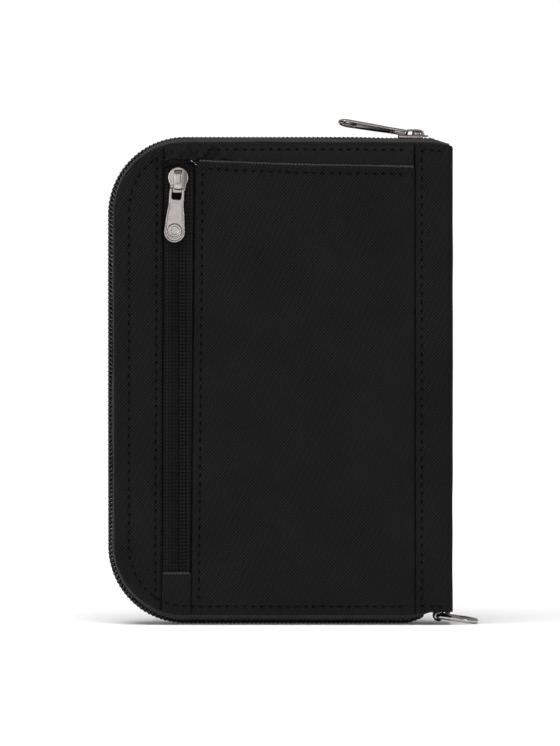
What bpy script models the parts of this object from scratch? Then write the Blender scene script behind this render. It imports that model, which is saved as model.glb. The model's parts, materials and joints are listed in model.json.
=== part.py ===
"""Zip-around passport wallet standing on its zip: rear cover, spine and front cover with a zipped pocket.

Lengths below are in millimetres and are scaled to metres where a mesh is made.
+Z is up, the spine is at +X, the pocket side faces -Y and Y = 0 is the middle of the zip chain.
"""
import math

import bpy
import bmesh
from mathutils import Matrix, Vector

MM = 0.001

# Whole wallet
COVER_WIDTH = 117.5            # free edge of a cover to the outer face of the spine
COVER_HEIGHT = 162.4
THICKNESS = 23.0               # outer face to outer face when closed
CORNER_RADIUS = 24.0           # cover corners on the zip side
ZIP_PROUD_SIDE = 2.5           # chain stands out past the cover's free edge
ZIP_PROUD_END = 3.5            # chain stands out past the top and bottom edges
ZIP_CORNER_EXTRA = 3.0         # chain corner radius over the cover's
ARC_STEPS = 9                  # flats round a quarter corner

# Layers
SEAT_GAP = 0.3                 # between pieces that touch
FOLD_GAP = 0.4                 # between a cover's outer fabric and the spine's, at the fold
FABRIC = 0.7
BACKING = 0.6
BOARD = 0.8
LINING = 0.5
CARD_LAYER = 0.4
TAPE = 0.6

# Main zip, size 5 coil
COIL_HEIGHT = 2.4
COIL_EDGE = 3.1                # outer side of one coil half from the middle of the chain
WEB_ROOM = 0.7                 # half the slot that the slider's web runs in
TAPE_EDGE = 1.0                # tape edge under the coil, from the middle of the chain
FLANGE_DEPTH = 9.0             # tape is sewn in as far as this from the chain's outer face
CHAIN_LOW_END = 10.0           # bottom run stops this far from the spine's outer face
CHAIN_TOP_END = 6.5            # top run stops this far from it

# Front face
SIDE_STRIP = 17.0              # strip between the free edge and the pocket zip
ZIP_WINDOW = 11.0
SPINE_STRIP = 13.0             # spine fabric that laps on to each cover
SLIP_TOP_LEFT = 5.4            # slip pocket's open edge below the cover's top edge
SLIP_TOP_RIGHT = 7.4
END_PATCH = 13.2               # height of the patch over the lower end of the pocket zip
PATCH = 0.4

# Pocket zip, size 3 coil worn with its tape outside
POCKET_COIL_HEIGHT = 1.2
POCKET_COIL_WIDTH = 1.9
POCKET_WEB_ROOM = 0.7
POUCH_WALL = 0.8
POUCH_DEPTH = 3.0
POUCH_BACK = 0.5

# Inside pockets
PASSPORT_WIDTH = 88.0
PASSPORT_ROOM = 5.0            # thickness that the passport pocket takes
PASSPORT_SIDE_PLAY = 1.2
POCKET_WALL = 0.8
PASSPORT_PANEL = 0.6
PASSPORT_PANEL_HEIGHT = 100.0
INNER_POCKET_X = 10.0          # inner pockets start this far inside the chain's outer face
INNER_POCKET_LOW = 12.0
CARD_TOPS = (("card_slot_upper", 88.0), ("card_slot_middle", 72.0), ("card_slot_lower", 56.0))

# Lanyard ring at the foot of the spine
RING_WIRE = 0.9                # wire radius
RING_HALF_WIDTH = 6.4          # wire centre line from the middle
RING_ARM = 6.1                 # straight part of each arm
RING_BAR_Z = 2.7
RING_PLAY = 0.3
TAB_HALF_WIDTH = 3.9
TAB = 0.7
TAB_LEG = 14.0                 # height that the tab's leg reaches inside the spine

# Sliders: length along the chain, width, plate, space between plates, bridge and puller
MAIN_SLIDER = {
    "length": 10.6, "width": 8.6, "plate": 0.7, "web": 0.8, "bridge": 7.6, "bridge_width": 2.6,
    "bridge_room": 1.4, "beam": 0.7, "foot": 1.0,
}
POCKET_SLIDER = {
    "length": 9.0, "width": 7.2, "plate": 0.8, "web": 0.8, "bridge": 6.8, "bridge_width": 2.4,
    "bridge_room": 1.4, "beam": 0.6, "foot": 0.9,
}
MAIN_PULLER = {"reach": 25.5, "neck": 5.0, "round": 7.3, "plate": 0.9, "eye": 3.4}
POCKET_PULLER = {"reach": 19.6, "neck": 5.0, "round": 7.3, "plate": 0.9, "eye": 3.4}
PULLER_ARM = 0.8               # metal each side of the eye
MAIN_PULLER_LIFT = 11.5        # degrees that the main puller leans up where it rests on its slider
MAIN_SLIDER_X = 13.5           # slider centre in front of the spine's outer face
POCKET_SLIDER_Z = 12.2         # slider centre below the cover's top edge

# Worked out
HALF = THICKNESS / 2
SPINE_X = (COVER_WIDTH + ZIP_PROUD_SIDE) / 2
COVER_X = SPINE_X - COVER_WIDTH
COVER_LOW = ZIP_PROUD_END
COVER_TOP = COVER_LOW + COVER_HEIGHT
CHAIN_X = COVER_X - ZIP_PROUD_SIDE
CHAIN_TOP = COVER_TOP + ZIP_PROUD_END
CHAIN_RADIUS = CORNER_RADIUS + ZIP_CORNER_EXTRA
SEAM_X = SPINE_X - SPINE_STRIP
WINDOW_X = COVER_X + SIDE_STRIP
POCKET_ZIP_X = WINDOW_X + ZIP_WINDOW / 2
SPINE_DEPTH = FABRIC + SEAT_GAP + BOARD + SEAT_GAP + LINING
STACK_X = SPINE_X - SPINE_DEPTH - SEAT_GAP
RING_X = STACK_X - TAB - RING_PLAY - RING_WIRE
SPINE_HALF = HALF - FABRIC - FOLD_GAP
TAPE_TOP = COIL_HEIGHT + SEAT_GAP
TAPE_FOOT = TAPE_TOP + TAPE
# Linings stop clear of the ring's bar and of the main slider's lower plate
INNER_EDGE = max(RING_BAR_Z + RING_WIRE, TAPE_FOOT + SEAT_GAP + MAIN_SLIDER["plate"]) + SEAT_GAP
BOARD_EDGE = FLANGE_DEPTH + SEAT_GAP

# Layer faces, as distances from the middle plane
REAR_FLANGE_Y = HALF - FABRIC - SEAT_GAP
REAR_LINING_Y = REAR_FLANGE_Y - BOARD - SEAT_GAP
PASSPORT_PANEL_Y = REAR_LINING_Y - LINING - PASSPORT_ROOM
BACKING_Y = HALF - FABRIC - SEAT_GAP
FRONT_FLANGE_Y = BACKING_Y - BACKING - SEAT_GAP
POUCH_BACK_Y = FRONT_FLANGE_Y - POUCH_DEPTH
FRONT_BOARD_Y = POUCH_BACK_Y - POUCH_BACK - SEAT_GAP
FRONT_LINING_Y = FRONT_BOARD_Y - BOARD - SEAT_GAP
CARD_Y = FRONT_LINING_Y - LINING - SEAT_GAP

FABRIC_BLACK = (0.012, 0.012, 0.013)
LINING_GREY = (0.03, 0.03, 0.032)
COIL_BLACK = (0.02, 0.02, 0.021)
BOARD_GREY = (0.08, 0.08, 0.08)
GUNMETAL = (0.36, 0.34, 0.33)


# Making objects

def clear_scene():
    for item in list(bpy.data.objects):
        bpy.data.objects.remove(item, do_unlink=True)


def material(name, colour, roughness, metallic=0.0):
    made = bpy.data.materials.new(name)
    made.use_nodes = True
    shader = made.node_tree.nodes["Principled BSDF"]
    shader.inputs["Base Color"].default_value = (*colour, 1.0)
    shader.inputs["Roughness"].default_value = roughness
    shader.inputs["Metallic"].default_value = metallic
    return made


def add_object(name, bm, colour, roughness=0.8, metallic=0.0, place=None, smooth=False):
    """Turn a bmesh in millimetres into an object in metres, placed by a matrix whose shift is in mm."""
    bmesh.ops.recalc_face_normals(bm, faces=bm.faces)
    bmesh.ops.scale(bm, vec=(MM, MM, MM), verts=bm.verts)
    mesh = bpy.data.meshes.new(name)
    bm.to_mesh(mesh)
    bm.free()
    mesh.materials.append(material(name, colour, roughness, metallic))
    item = bpy.data.objects.new(name, mesh)
    bpy.context.scene.collection.objects.link(item)
    if place is not None:
        matrix = place.copy()
        matrix.translation = place.translation * MM
        item.matrix_world = matrix
    if smooth:
        mesh.shade_smooth()
        mesh.set_sharp_from_angle(angle=math.radians(35))
    return item


def tool(item):
    """Mark an object as a guide that only shapes another."""
    item.hide_render = True
    item.display_type = "WIRE"
    return item


def combine(target, operand, operation):
    change = target.modifiers.new(operand.name, "BOOLEAN")
    change.operation = operation
    change.solver = "EXACT"
    change.object = tool(operand)
    return target


def shift(x=0.0, y=0.0, z=0.0):
    return Matrix.Translation((x, y, z))


def box_mesh(low, high):
    bm = bmesh.new()
    size = Vector(high) - Vector(low)
    middle = (Vector(high) + Vector(low)) / 2
    bmesh.ops.create_cube(bm, size=1.0, matrix=Matrix.Translation(middle) @ Matrix.Diagonal((*size, 1.0)))
    return bm


def plate_mesh(outline, y_one, y_two):
    """Extrude an outline of (x, z) points between two y values."""
    bm = bmesh.new()
    near = [bm.verts.new((x, y_one, z)) for x, z in outline]
    far = [bm.verts.new((x, y_two, z)) for x, z in outline]
    bm.faces.new(near)
    bm.faces.new(list(reversed(far)))
    count = len(outline)
    for i in range(count):
        j = (i + 1) % count
        bm.faces.new((near[i], far[i], far[j], near[j]))
    return bm


def loft_mesh(sections, closed=False):
    """Skin a row of equal sections; an open row gets end caps."""
    bm = bmesh.new()
    rings = [[bm.verts.new(point) for point in section] for section in sections]
    count = len(rings[0])
    last = len(rings) if closed else len(rings) - 1
    for i in range(last):
        ring, following = rings[i], rings[(i + 1) % len(rings)]
        for j in range(count):
            k = (j + 1) % count
            bm.faces.new((ring[j], ring[k], following[k], following[j]))
    if not closed:
        bm.faces.new(list(reversed(rings[0])))
        bm.faces.new(rings[-1])
    return bm


# Outlines

def quarter(centre, radius, start):
    """Points of a quarter turn, clockwise seen from the front, start and turn in degrees."""
    points = []
    for i in range(ARC_STEPS + 1):
        angle = math.radians(start - 90.0 * i / ARC_STEPS)
        points.append((centre[0] + radius * math.cos(angle), centre[1] + radius * math.sin(angle)))
    return points


def chain_path(inset, low_end, top_end):
    """Zip edge from the spine end of the bottom run, round the free edge, to that of the top run."""
    left, low, top = CHAIN_X + inset, inset, CHAIN_TOP - inset
    radius = CHAIN_RADIUS - inset
    points = [(low_end, low)]
    points += quarter((left + radius, low + radius), radius, -90.0)
    points += quarter((left + radius, top - radius), radius, 180.0)
    points.append((top_end, top))
    return points


def inner_outline(inset, right):
    """Closed outline of a sheet that lies inside the zip edge."""
    return chain_path(inset, right, right)


def height_at(x, inset):
    """Lowest point of an inner outline at an x value, which its rounded corner lifts."""
    radius = CHAIN_RADIUS - inset
    into_corner = max(0.0, CHAIN_X + inset + radius - x)
    return inset + radius - math.sqrt(radius ** 2 - into_corner ** 2)


def cover_outline(left, right, inset=0.0):
    """Part of the cover between two x values, following its rounded corners."""
    radius = CORNER_RADIUS - inset
    centre_x = COVER_X + inset + radius
    low, top = COVER_LOW + inset, COVER_TOP - inset
    edge = []
    if left < centre_x:
        start = math.acos(min(1.0, (centre_x - left) / radius))
        stop = math.acos(max(0.0, (centre_x - right) / radius))
        for i in range(ARC_STEPS + 1):
            angle = start + (stop - start) * i / ARC_STEPS
            edge.append((centre_x - radius * math.cos(angle), radius - radius * math.sin(angle)))
    else:
        edge.append((left, 0.0))
    if right > centre_x:
        edge.append((right, 0.0))
    under = [(x, low + rise) for x, rise in edge]
    over = [(x, top - rise) for x, rise in reversed(edge)]
    return under + over


def rectangle(left, right, low, top):
    return [(left, low), (right, low), (right, top), (left, top)]


# Zip edge

def chain_openness(count):
    """0 where the chain is closed, 1 on the top run that the slider uses."""
    top_start = count - 2 - ARC_STEPS
    return [min(1.0, max(0.0, (i - top_start) / ARC_STEPS)) for i in range(count)]


def zip_coil(name, side):
    """Half of the chain, side +1 at the rear; the rear half's closed run crosses the middle."""
    ends = (SPINE_X - CHAIN_LOW_END, SPINE_X - CHAIN_TOP_END)
    outer = chain_path(0.0, *ends)
    inner = chain_path(COIL_HEIGHT, *ends)
    closed_y = -SEAT_GAP if side > 0 else -2 * SEAT_GAP
    sections = []
    for (ox, oz), (ix, iz), open_part in zip(outer, inner, chain_openness(len(outer))):
        near = closed_y + (side * WEB_ROOM - closed_y) * open_part
        far = side * COIL_EDGE
        sections.append([(ox, near, oz), (ox, far, oz), (ix, far, iz), (ix, near, iz)])
    return add_object(name, loft_mesh(sections), COIL_BLACK, 0.35)


def zip_tape(name, side, flange_y):
    """Tape wall between the cover and the coil, with its sewn flange turned in behind the cover."""
    ends = (SPINE_X - CHAIN_LOW_END, SPINE_X - CHAIN_TOP_END)
    profile = [
        (TAPE_TOP, TAPE_EDGE), (TAPE_TOP, flange_y), (FLANGE_DEPTH, flange_y),
        (FLANGE_DEPTH, flange_y - TAPE), (TAPE_FOOT, flange_y - TAPE), (TAPE_FOOT, TAPE_EDGE),
    ]
    paths = [chain_path(inset, *ends) for inset, _ in profile]
    sections = []
    for i in range(len(paths[0])):
        sections.append([(path[i][0], side * y, path[i][1]) for path, (_, y) in zip(paths, profile)])
    return add_object(name, loft_mesh(sections), FABRIC_BLACK, 0.85)


# Rear cover

def rear_cover():
    add_object("rear_panel", plate_mesh(cover_outline(COVER_X, SEAM_X - SEAT_GAP / 2), HALF - FABRIC, HALF),
               FABRIC_BLACK)
    add_object("rear_spine_strip",
               plate_mesh(rectangle(SEAM_X + SEAT_GAP / 2, SPINE_X - SEAT_GAP, COVER_LOW, COVER_TOP),
                          HALF - FABRIC, HALF), FABRIC_BLACK)
    add_object("rear_board",
               plate_mesh(inner_outline(BOARD_EDGE, STACK_X), REAR_FLANGE_Y - BOARD, REAR_FLANGE_Y),
               BOARD_GREY)
    add_object("rear_lining",
               plate_mesh(inner_outline(INNER_EDGE, STACK_X), REAR_LINING_Y - LINING, REAR_LINING_Y),
               LINING_GREY)
    passport_pocket()


def passport_pocket():
    """Open-topped pocket on the rear lining: panel, two side walls and a bottom."""
    left = CHAIN_X + INNER_POCKET_X
    right = left + PASSPORT_WIDTH + 2 * (PASSPORT_SIDE_PLAY + POCKET_WALL)
    low = INNER_POCKET_LOW
    top = low + PASSPORT_PANEL_HEIGHT
    panel_y = PASSPORT_PANEL_Y - PASSPORT_PANEL
    seat_y = REAR_LINING_Y - LINING - SEAT_GAP
    pocket = add_object("passport_pocket", plate_mesh(rectangle(left, right, low, top), panel_y, seat_y),
                        LINING_GREY)
    room = plate_mesh(rectangle(left + POCKET_WALL, right - POCKET_WALL, low + POCKET_WALL, top + 1.0),
                      PASSPORT_PANEL_Y, seat_y + 1.0)
    combine(pocket, add_object("passport_room", room, LINING_GREY), "DIFFERENCE")


# Spine

def spine():
    face = SPINE_X
    for name, depth, colour in (("spine_wrap", FABRIC, FABRIC_BLACK), ("spine_board", BOARD, BOARD_GREY),
                                ("spine_lining", LINING, LINING_GREY)):
        sheet = box_mesh((face - depth, -SPINE_HALF, COVER_LOW), (face, SPINE_HALF, COVER_TOP))
        add_object(name, sheet, colour)
        face -= depth + SEAT_GAP


def ring_tab():
    """Webbing that runs down inside the spine lining, round the ring's bar and back up to its own leg."""
    bore = RING_WIRE + RING_PLAY
    wrap = 290.0
    steps = 20
    turns = [math.radians(-wrap * i / steps) for i in range(steps + 1)]
    profile = [(STACK_X, TAB_LEG)]
    for radius, angles in ((bore + TAB, turns), (bore, list(reversed(turns)))):
        profile += [(RING_X + radius * math.cos(a), RING_BAR_Z + radius * math.sin(a)) for a in angles]
    profile.append((STACK_X - TAB, TAB_LEG))
    add_object("d_ring_tab", plate_mesh(profile, -TAB_HALF_WIDTH, TAB_HALF_WIDTH), FABRIC_BLACK, smooth=True)


def ring_path():
    """Centre line of the D in its own plane: u away from the bar, v along it."""
    bend = 1.3
    points = [(0.0, 0.0)]
    for i in range(4):
        angle = math.radians(90.0 * i / 3)
        points.append((bend - bend * math.cos(angle), RING_HALF_WIDTH - bend + bend * math.sin(angle)))
    for i in range(13):
        angle = math.radians(90.0 - 180.0 * i / 12)
        points.append((RING_ARM + RING_HALF_WIDTH * math.cos(angle), RING_HALF_WIDTH * math.sin(angle)))
    for i in range(4):
        angle = math.radians(90.0 - 90.0 * i / 3)
        points.append((bend - bend * math.cos(angle), -RING_HALF_WIDTH + bend - bend * math.sin(angle)))
    return points


def ring():
    """Wire D-ring that leans down until its round end lies on the ground."""
    drop = math.asin((RING_BAR_Z - RING_WIRE) / (RING_ARM + RING_HALF_WIDTH))
    sides = 10
    path = ring_path()
    sections = []
    for i, (u, v) in enumerate(path):
        before, after = path[i - 1], path[(i + 1) % len(path)]
        along = Vector((after[0] - before[0], after[1] - before[1])).normalized()
        section = []
        for j in range(sides):
            angle = 2 * math.pi * j / sides
            out = RING_WIRE * math.cos(angle)
            section.append((u + along.y * out, v - along.x * out, RING_WIRE * math.sin(angle)))
        sections.append(section)
    place = shift(RING_X, 0.0, RING_BAR_Z) @ Matrix.Rotation(drop, 4, "Y")
    add_object("d_ring", loft_mesh(sections, closed=True), GUNMETAL, 0.25, 1.0, place, smooth=True)


# Front cover

def front_cover():
    outer = -HALF
    side_right = WINDOW_X - SEAT_GAP / 2
    window_left, window_right = WINDOW_X + SEAT_GAP / 2, WINDOW_X + ZIP_WINDOW - SEAT_GAP / 2
    panel_left = WINDOW_X + ZIP_WINDOW + SEAT_GAP / 2
    low, top = COVER_LOW, COVER_TOP
    add_object("front_side_strip",
               plate_mesh(cover_outline(COVER_X, side_right), outer, -BACKING_Y + BACKING), FABRIC_BLACK)
    slip = [(panel_left, low), (SEAM_X - SEAT_GAP / 2, low),
            (SEAM_X - SEAT_GAP / 2, top - SLIP_TOP_RIGHT), (panel_left, top - SLIP_TOP_LEFT)]
    add_object("slip_pocket_panel", plate_mesh(slip, outer, outer + FABRIC), FABRIC_BLACK)
    add_object("front_backing_panel",
               plate_mesh(cover_outline(panel_left, STACK_X), -BACKING_Y, -BACKING_Y + BACKING),
               FABRIC_BLACK)
    add_object("front_spine_strip",
               plate_mesh(rectangle(SEAM_X + SEAT_GAP / 2, SPINE_X - SEAT_GAP, low, top), outer,
                          outer + FABRIC), FABRIC_BLACK)
    pocket_zip(window_left, window_right)
    pocket_pouch()
    add_object("front_board",
               plate_mesh(inner_outline(INNER_EDGE, STACK_X), -FRONT_BOARD_Y, -FRONT_BOARD_Y + BOARD),
               BOARD_GREY)
    add_object("front_lining",
               plate_mesh(inner_outline(INNER_EDGE, STACK_X), -FRONT_LINING_Y, -FRONT_LINING_Y + LINING),
               LINING_GREY)
    card_slots()


def pocket_zip(window_left, window_right):
    """Two tapes flush in the window, their coils behind them and a patch over the lower end."""
    tape_y = (-BACKING_Y, -BACKING_Y + TAPE)
    coil_y = (-FRONT_FLANGE_Y, -FRONT_FLANGE_Y + POCKET_COIL_HEIGHT)
    coil_left = POCKET_ZIP_X - POCKET_WEB_ROOM - POCKET_COIL_WIDTH
    coil_low = height_at(coil_left, BOARD_EDGE + POUCH_WALL) + SEAT_GAP
    coil_top = CHAIN_TOP - coil_low
    for label, side, edge in (("left", -1, window_left), ("right", 1, window_right)):
        inner = POCKET_ZIP_X + side * POCKET_WEB_ROOM
        tape = cover_outline(min(edge, inner), max(edge, inner))
        add_object("pocket_zip_tape_" + label, plate_mesh(tape, *tape_y), FABRIC_BLACK)
        outer = inner + side * POCKET_COIL_WIDTH
        coil = rectangle(min(inner, outer), max(inner, outer), coil_low, coil_top)
        add_object("pocket_zip_coil_" + label, plate_mesh(coil, *coil_y), COIL_BLACK, 0.35)
    patch_front = -HALF + FABRIC - PATCH
    patch = cover_outline(window_left, window_right)
    patch = [(x, min(z, COVER_LOW + END_PATCH)) for x, z in patch]
    tidy = [point for i, point in enumerate(patch)
            if point[1] < COVER_LOW + END_PATCH or point[0] in (window_left, window_right)]
    add_object("pocket_zip_end_patch", plate_mesh(tidy, patch_front, patch_front + PATCH), FABRIC_BLACK)


def pocket_pouch():
    """Shallow tray of lining behind the pocket zip."""
    right = STACK_X - POUCH_WALL
    back = -POUCH_BACK_Y + POUCH_BACK
    pouch = add_object("pocket_pouch",
                       plate_mesh(inner_outline(BOARD_EDGE, right), -FRONT_FLANGE_Y, back), LINING_GREY)
    room = plate_mesh(inner_outline(BOARD_EDGE + POUCH_WALL, right - POUCH_WALL), -HALF, -POUCH_BACK_Y)
    combine(pouch, add_object("pouch_room", room, LINING_GREY), "DIFFERENCE")


def card_slots():
    left = CHAIN_X + INNER_POCKET_X
    right = left + PASSPORT_WIDTH + 2 * (PASSPORT_SIDE_PLAY + POCKET_WALL)
    face = -CARD_Y
    for name, height in CARD_TOPS:
        slot = rectangle(left, right, INNER_POCKET_LOW, INNER_POCKET_LOW + height)
        add_object(name, plate_mesh(slot, face, face + CARD_LAYER), LINING_GREY)
        face += CARD_LAYER + SEAT_GAP


# Sliders and pullers, in their own axes: u to the closed end, v across, w out from the chain

def frame_at(origin, along, outward):
    """Matrix that carries u to along and w to outward."""
    across = outward.cross(along)
    rows = [[along[i], across[i], outward[i], origin[i]] for i in range(3)] + [[0.0, 0.0, 0.0, 1.0]]
    return Matrix(rows)


def pivot_of(slider):
    """Puller pivot in the slider's axes."""
    u = -slider["bridge"] / 2 + slider["foot"] + slider["bridge_room"] / 2
    return Vector((u, 0.0, slider["plate"] + slider["bridge_room"] / 2))


def make_slider(name, size, room, place):
    """Two plates joined by a web, with a bridge for the puller; w = 0 is the outer plate's underside."""
    half, wide = size["length"] / 2, size["width"] / 2
    web = size["web"] / 2
    low = -room - size["plate"]
    nose = wide * 0.62
    outline = [(-half, -nose), (-half + 1.5, -wide), (half - 2.4, -wide), (half, -nose),
               (half, nose), (half - 2.4, wide), (-half + 1.5, wide), (-half, nose)]
    upper = flat_mesh(outline, 0.0, size["plate"])
    slider = add_object(name, upper, GUNMETAL, 0.25, 1.0, place)
    lower = flat_mesh(outline, low, -room)
    combine(slider, add_object(name + "_lower", lower, GUNMETAL, place=place), "UNION")
    post = box_mesh((-half * 0.1, -web, low + size["plate"] / 2), (half * 0.8, web, size["plate"] / 2))
    combine(slider, add_object(name + "_web", post, GUNMETAL, place=place), "UNION")
    combine(slider, bridge(name + "_bridge", size, place), "UNION")


def flat_mesh(outline, low, high):
    """Extrude an outline of (u, v) points between two w values."""
    return loft_mesh([[(u, v, low) for u, v in outline], [(u, v, high) for u, v in outline]])


def bridge(name, size, place):
    end, foot = size["bridge"] / 2, size["foot"]
    base = size["plate"] / 2
    under = size["plate"] + size["bridge_room"]
    top = under + size["beam"]
    slope = size["beam"]
    profile = [(-end, base), (-end, top - slope), (-end + slope, top), (end - slope, top), (end, top - slope),
               (end, base), (end - foot, base), (end - foot, under), (-end + foot, under), (-end + foot, base)]
    half = size["bridge_width"] / 2
    bm = loft_mesh([[(u, -half, w) for u, w in profile], [(u, half, w) for u, w in profile]])
    return add_object(name, bm, GUNMETAL, place=place)


def make_puller(name, size, place):
    """Tapered plate with a round end; its eye passes round the slider's bridge. u runs to the tip."""
    neck, end_radius = size["neck"] / 2, size["round"] / 2
    bar = size["plate"] / 2
    centre = size["reach"] - end_radius
    outline = [(-bar, -neck), (size["eye"] + 2.0, -neck)]
    for i in range(13):
        angle = math.radians(-90.0 + 180.0 * i / 12)
        outline.append((centre + end_radius * math.cos(angle), end_radius * math.sin(angle)))
    outline += [(size["eye"] + 2.0, neck), (-bar, neck)]
    puller = add_object(name, flat_mesh(outline, -bar, bar), GUNMETAL, 0.25, 1.0, place)
    hole = neck - PULLER_ARM
    eye = box_mesh((bar, -hole, -bar - 1.0), (size["eye"], hole, bar + 1.0))
    combine(puller, add_object(name + "_eye", eye, GUNMETAL, place=place), "DIFFERENCE")


def main_zip_slider():
    up, right = Vector((0, 0, 1)), Vector((1, 0, 0))
    origin = Vector((SPINE_X - MAIN_SLIDER_X, 0.0, CHAIN_TOP + SEAT_GAP))
    place = frame_at(origin, right, up)
    room = TAPE_FOOT + 2 * SEAT_GAP
    make_slider("main_zip_slider", MAIN_SLIDER, room, place)
    lean = math.radians(MAIN_PULLER_LIFT)
    along = Vector((-math.cos(lean), 0.0, math.sin(lean)))
    outward = Vector((math.sin(lean), 0.0, math.cos(lean)))
    pivot = place @ pivot_of(MAIN_SLIDER)
    make_puller("main_zip_puller", MAIN_PULLER, frame_at(pivot, along, outward))


def pocket_zip_slider():
    up, out = Vector((0, 0, 1)), Vector((0, -1, 0))
    origin = Vector((POCKET_ZIP_X, -BACKING_Y - SEAT_GAP, COVER_TOP - POCKET_SLIDER_Z))
    place = frame_at(origin, up, out)
    room = TAPE + SEAT_GAP + POCKET_COIL_HEIGHT + 2 * SEAT_GAP
    make_slider("pocket_zip_slider", POCKET_SLIDER, room, place)
    pivot = place @ pivot_of(POCKET_SLIDER)
    make_puller("pocket_zip_puller", POCKET_PULLER, frame_at(pivot, -up, out))


def build():
    clear_scene()
    rear_cover()
    zip_tape("rear_zip_tape", 1, REAR_FLANGE_Y)
    zip_coil("rear_zip_coil", 1)
    spine()
    ring_tab()
    ring()
    front_cover()
    zip_tape("front_zip_tape", -1, FRONT_FLANGE_Y)
    zip_coil("front_zip_coil", -1)
    main_zip_slider()
    pocket_zip_slider()


build()
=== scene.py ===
import json
import math

import bpy
import numpy as np
from mathutils import Matrix, Vector

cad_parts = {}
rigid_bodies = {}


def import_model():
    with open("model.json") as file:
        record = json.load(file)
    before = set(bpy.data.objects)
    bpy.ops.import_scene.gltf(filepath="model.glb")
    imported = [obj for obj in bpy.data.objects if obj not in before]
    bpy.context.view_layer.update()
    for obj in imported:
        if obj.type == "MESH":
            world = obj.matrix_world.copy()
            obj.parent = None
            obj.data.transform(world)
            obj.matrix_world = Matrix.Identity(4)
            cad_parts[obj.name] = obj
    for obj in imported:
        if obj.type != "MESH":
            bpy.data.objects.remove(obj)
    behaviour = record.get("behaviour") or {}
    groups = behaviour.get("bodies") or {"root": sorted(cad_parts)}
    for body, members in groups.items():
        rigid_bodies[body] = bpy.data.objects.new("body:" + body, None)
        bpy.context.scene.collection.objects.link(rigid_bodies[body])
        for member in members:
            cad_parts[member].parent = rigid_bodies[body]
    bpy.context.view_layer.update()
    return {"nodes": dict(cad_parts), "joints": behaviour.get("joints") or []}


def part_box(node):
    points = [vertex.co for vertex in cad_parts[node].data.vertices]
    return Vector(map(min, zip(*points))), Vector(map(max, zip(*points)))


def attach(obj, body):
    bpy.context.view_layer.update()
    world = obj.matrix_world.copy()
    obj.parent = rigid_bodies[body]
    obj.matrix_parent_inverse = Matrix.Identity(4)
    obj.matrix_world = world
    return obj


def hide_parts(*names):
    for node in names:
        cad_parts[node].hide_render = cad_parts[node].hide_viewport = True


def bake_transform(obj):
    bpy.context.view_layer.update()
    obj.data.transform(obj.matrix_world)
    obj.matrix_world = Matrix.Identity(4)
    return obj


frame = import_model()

mm = 0.001
print("wallet: frame loaded")


def boxMm(node):
    low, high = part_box(node)
    return [float(v) / mm for v in low], [float(v) / mm for v in high]


# places that everything else hangs on, in millimetres
coverLow, coverHigh = boxMm("rear_panel")
coilLow, coilHigh = boxMm("rear_zip_coil")
spineX = boxMm("spine_wrap")[1][0]
halfThick = coverHigh[1]
edgeX, bottomZ, topZ = coverLow[0], coverLow[2], coverHigh[2]
chainX, chainTop = coilLow[0], coilHigh[2]
seamX = coverHigh[0]
middleZ = (bottomZ + topZ) / 2
cornerRadius = 24.0                 # cover corners on the zip side
chainRadius = cornerRadius + 3.0


# materials

def nodeTree(name):
    mat = bpy.data.materials.new(name)
    mat.use_nodes = True
    tree = mat.node_tree
    return mat, tree, tree.nodes["Principled BSDF"]


def addNode(tree, kind, **settings):
    node = tree.nodes.new(kind)
    for key, value in settings.items():
        setattr(node, key, value)
    return node


def mathNode(tree, operation, first, second):
    node = addNode(tree, "ShaderNodeMath", operation=operation)
    for socket, value in zip(node.inputs, (first, second)):
        if isinstance(value, (int, float)):
            socket.default_value = value
        else:
            tree.links.new(value, socket)
    return node.outputs[0]


def ramp(tree, factor, stops):
    node = addNode(tree, "ShaderNodeValToRGB")
    tree.links.new(factor, node.inputs["Fac"])
    elements = node.color_ramp.elements
    while len(elements) < len(stops):
        elements.new(0.5)
    for element, (position, colour) in zip(elements, stops):
        element.position = position
        element.color = (*colour, 1.0)
    return node.outputs["Color"]


def scaledNoise(tree, vector, scale, detail=3.0, roughness=0.55):
    node = addNode(tree, "ShaderNodeTexNoise")
    node.inputs["Scale"].default_value = scale
    node.inputs["Detail"].default_value = detail
    node.inputs["Roughness"].default_value = roughness
    tree.links.new(vector, node.inputs["Vector"])
    return node.outputs["Fac"]


def band(tree, vector, period, angle):
    """Sine bands across a map in millimetres, period apart, turned by an angle in degrees."""
    turn = addNode(tree, "ShaderNodeMapping")
    turn.inputs["Rotation"].default_value[2] = math.radians(angle)
    tree.links.new(vector, turn.inputs["Vector"])
    wave = addNode(tree, "ShaderNodeTexWave", wave_type="BANDS", bands_direction="X", wave_profile="SIN")
    wave.inputs["Scale"].default_value = math.pi / 10 / period
    wave.inputs["Distortion"].default_value = 0.6
    wave.inputs["Detail"].default_value = 1.0
    wave.inputs["Detail Scale"].default_value = 0.4
    tree.links.new(turn.outputs["Vector"], wave.inputs["Vector"])
    return wave.outputs["Fac"]


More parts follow.
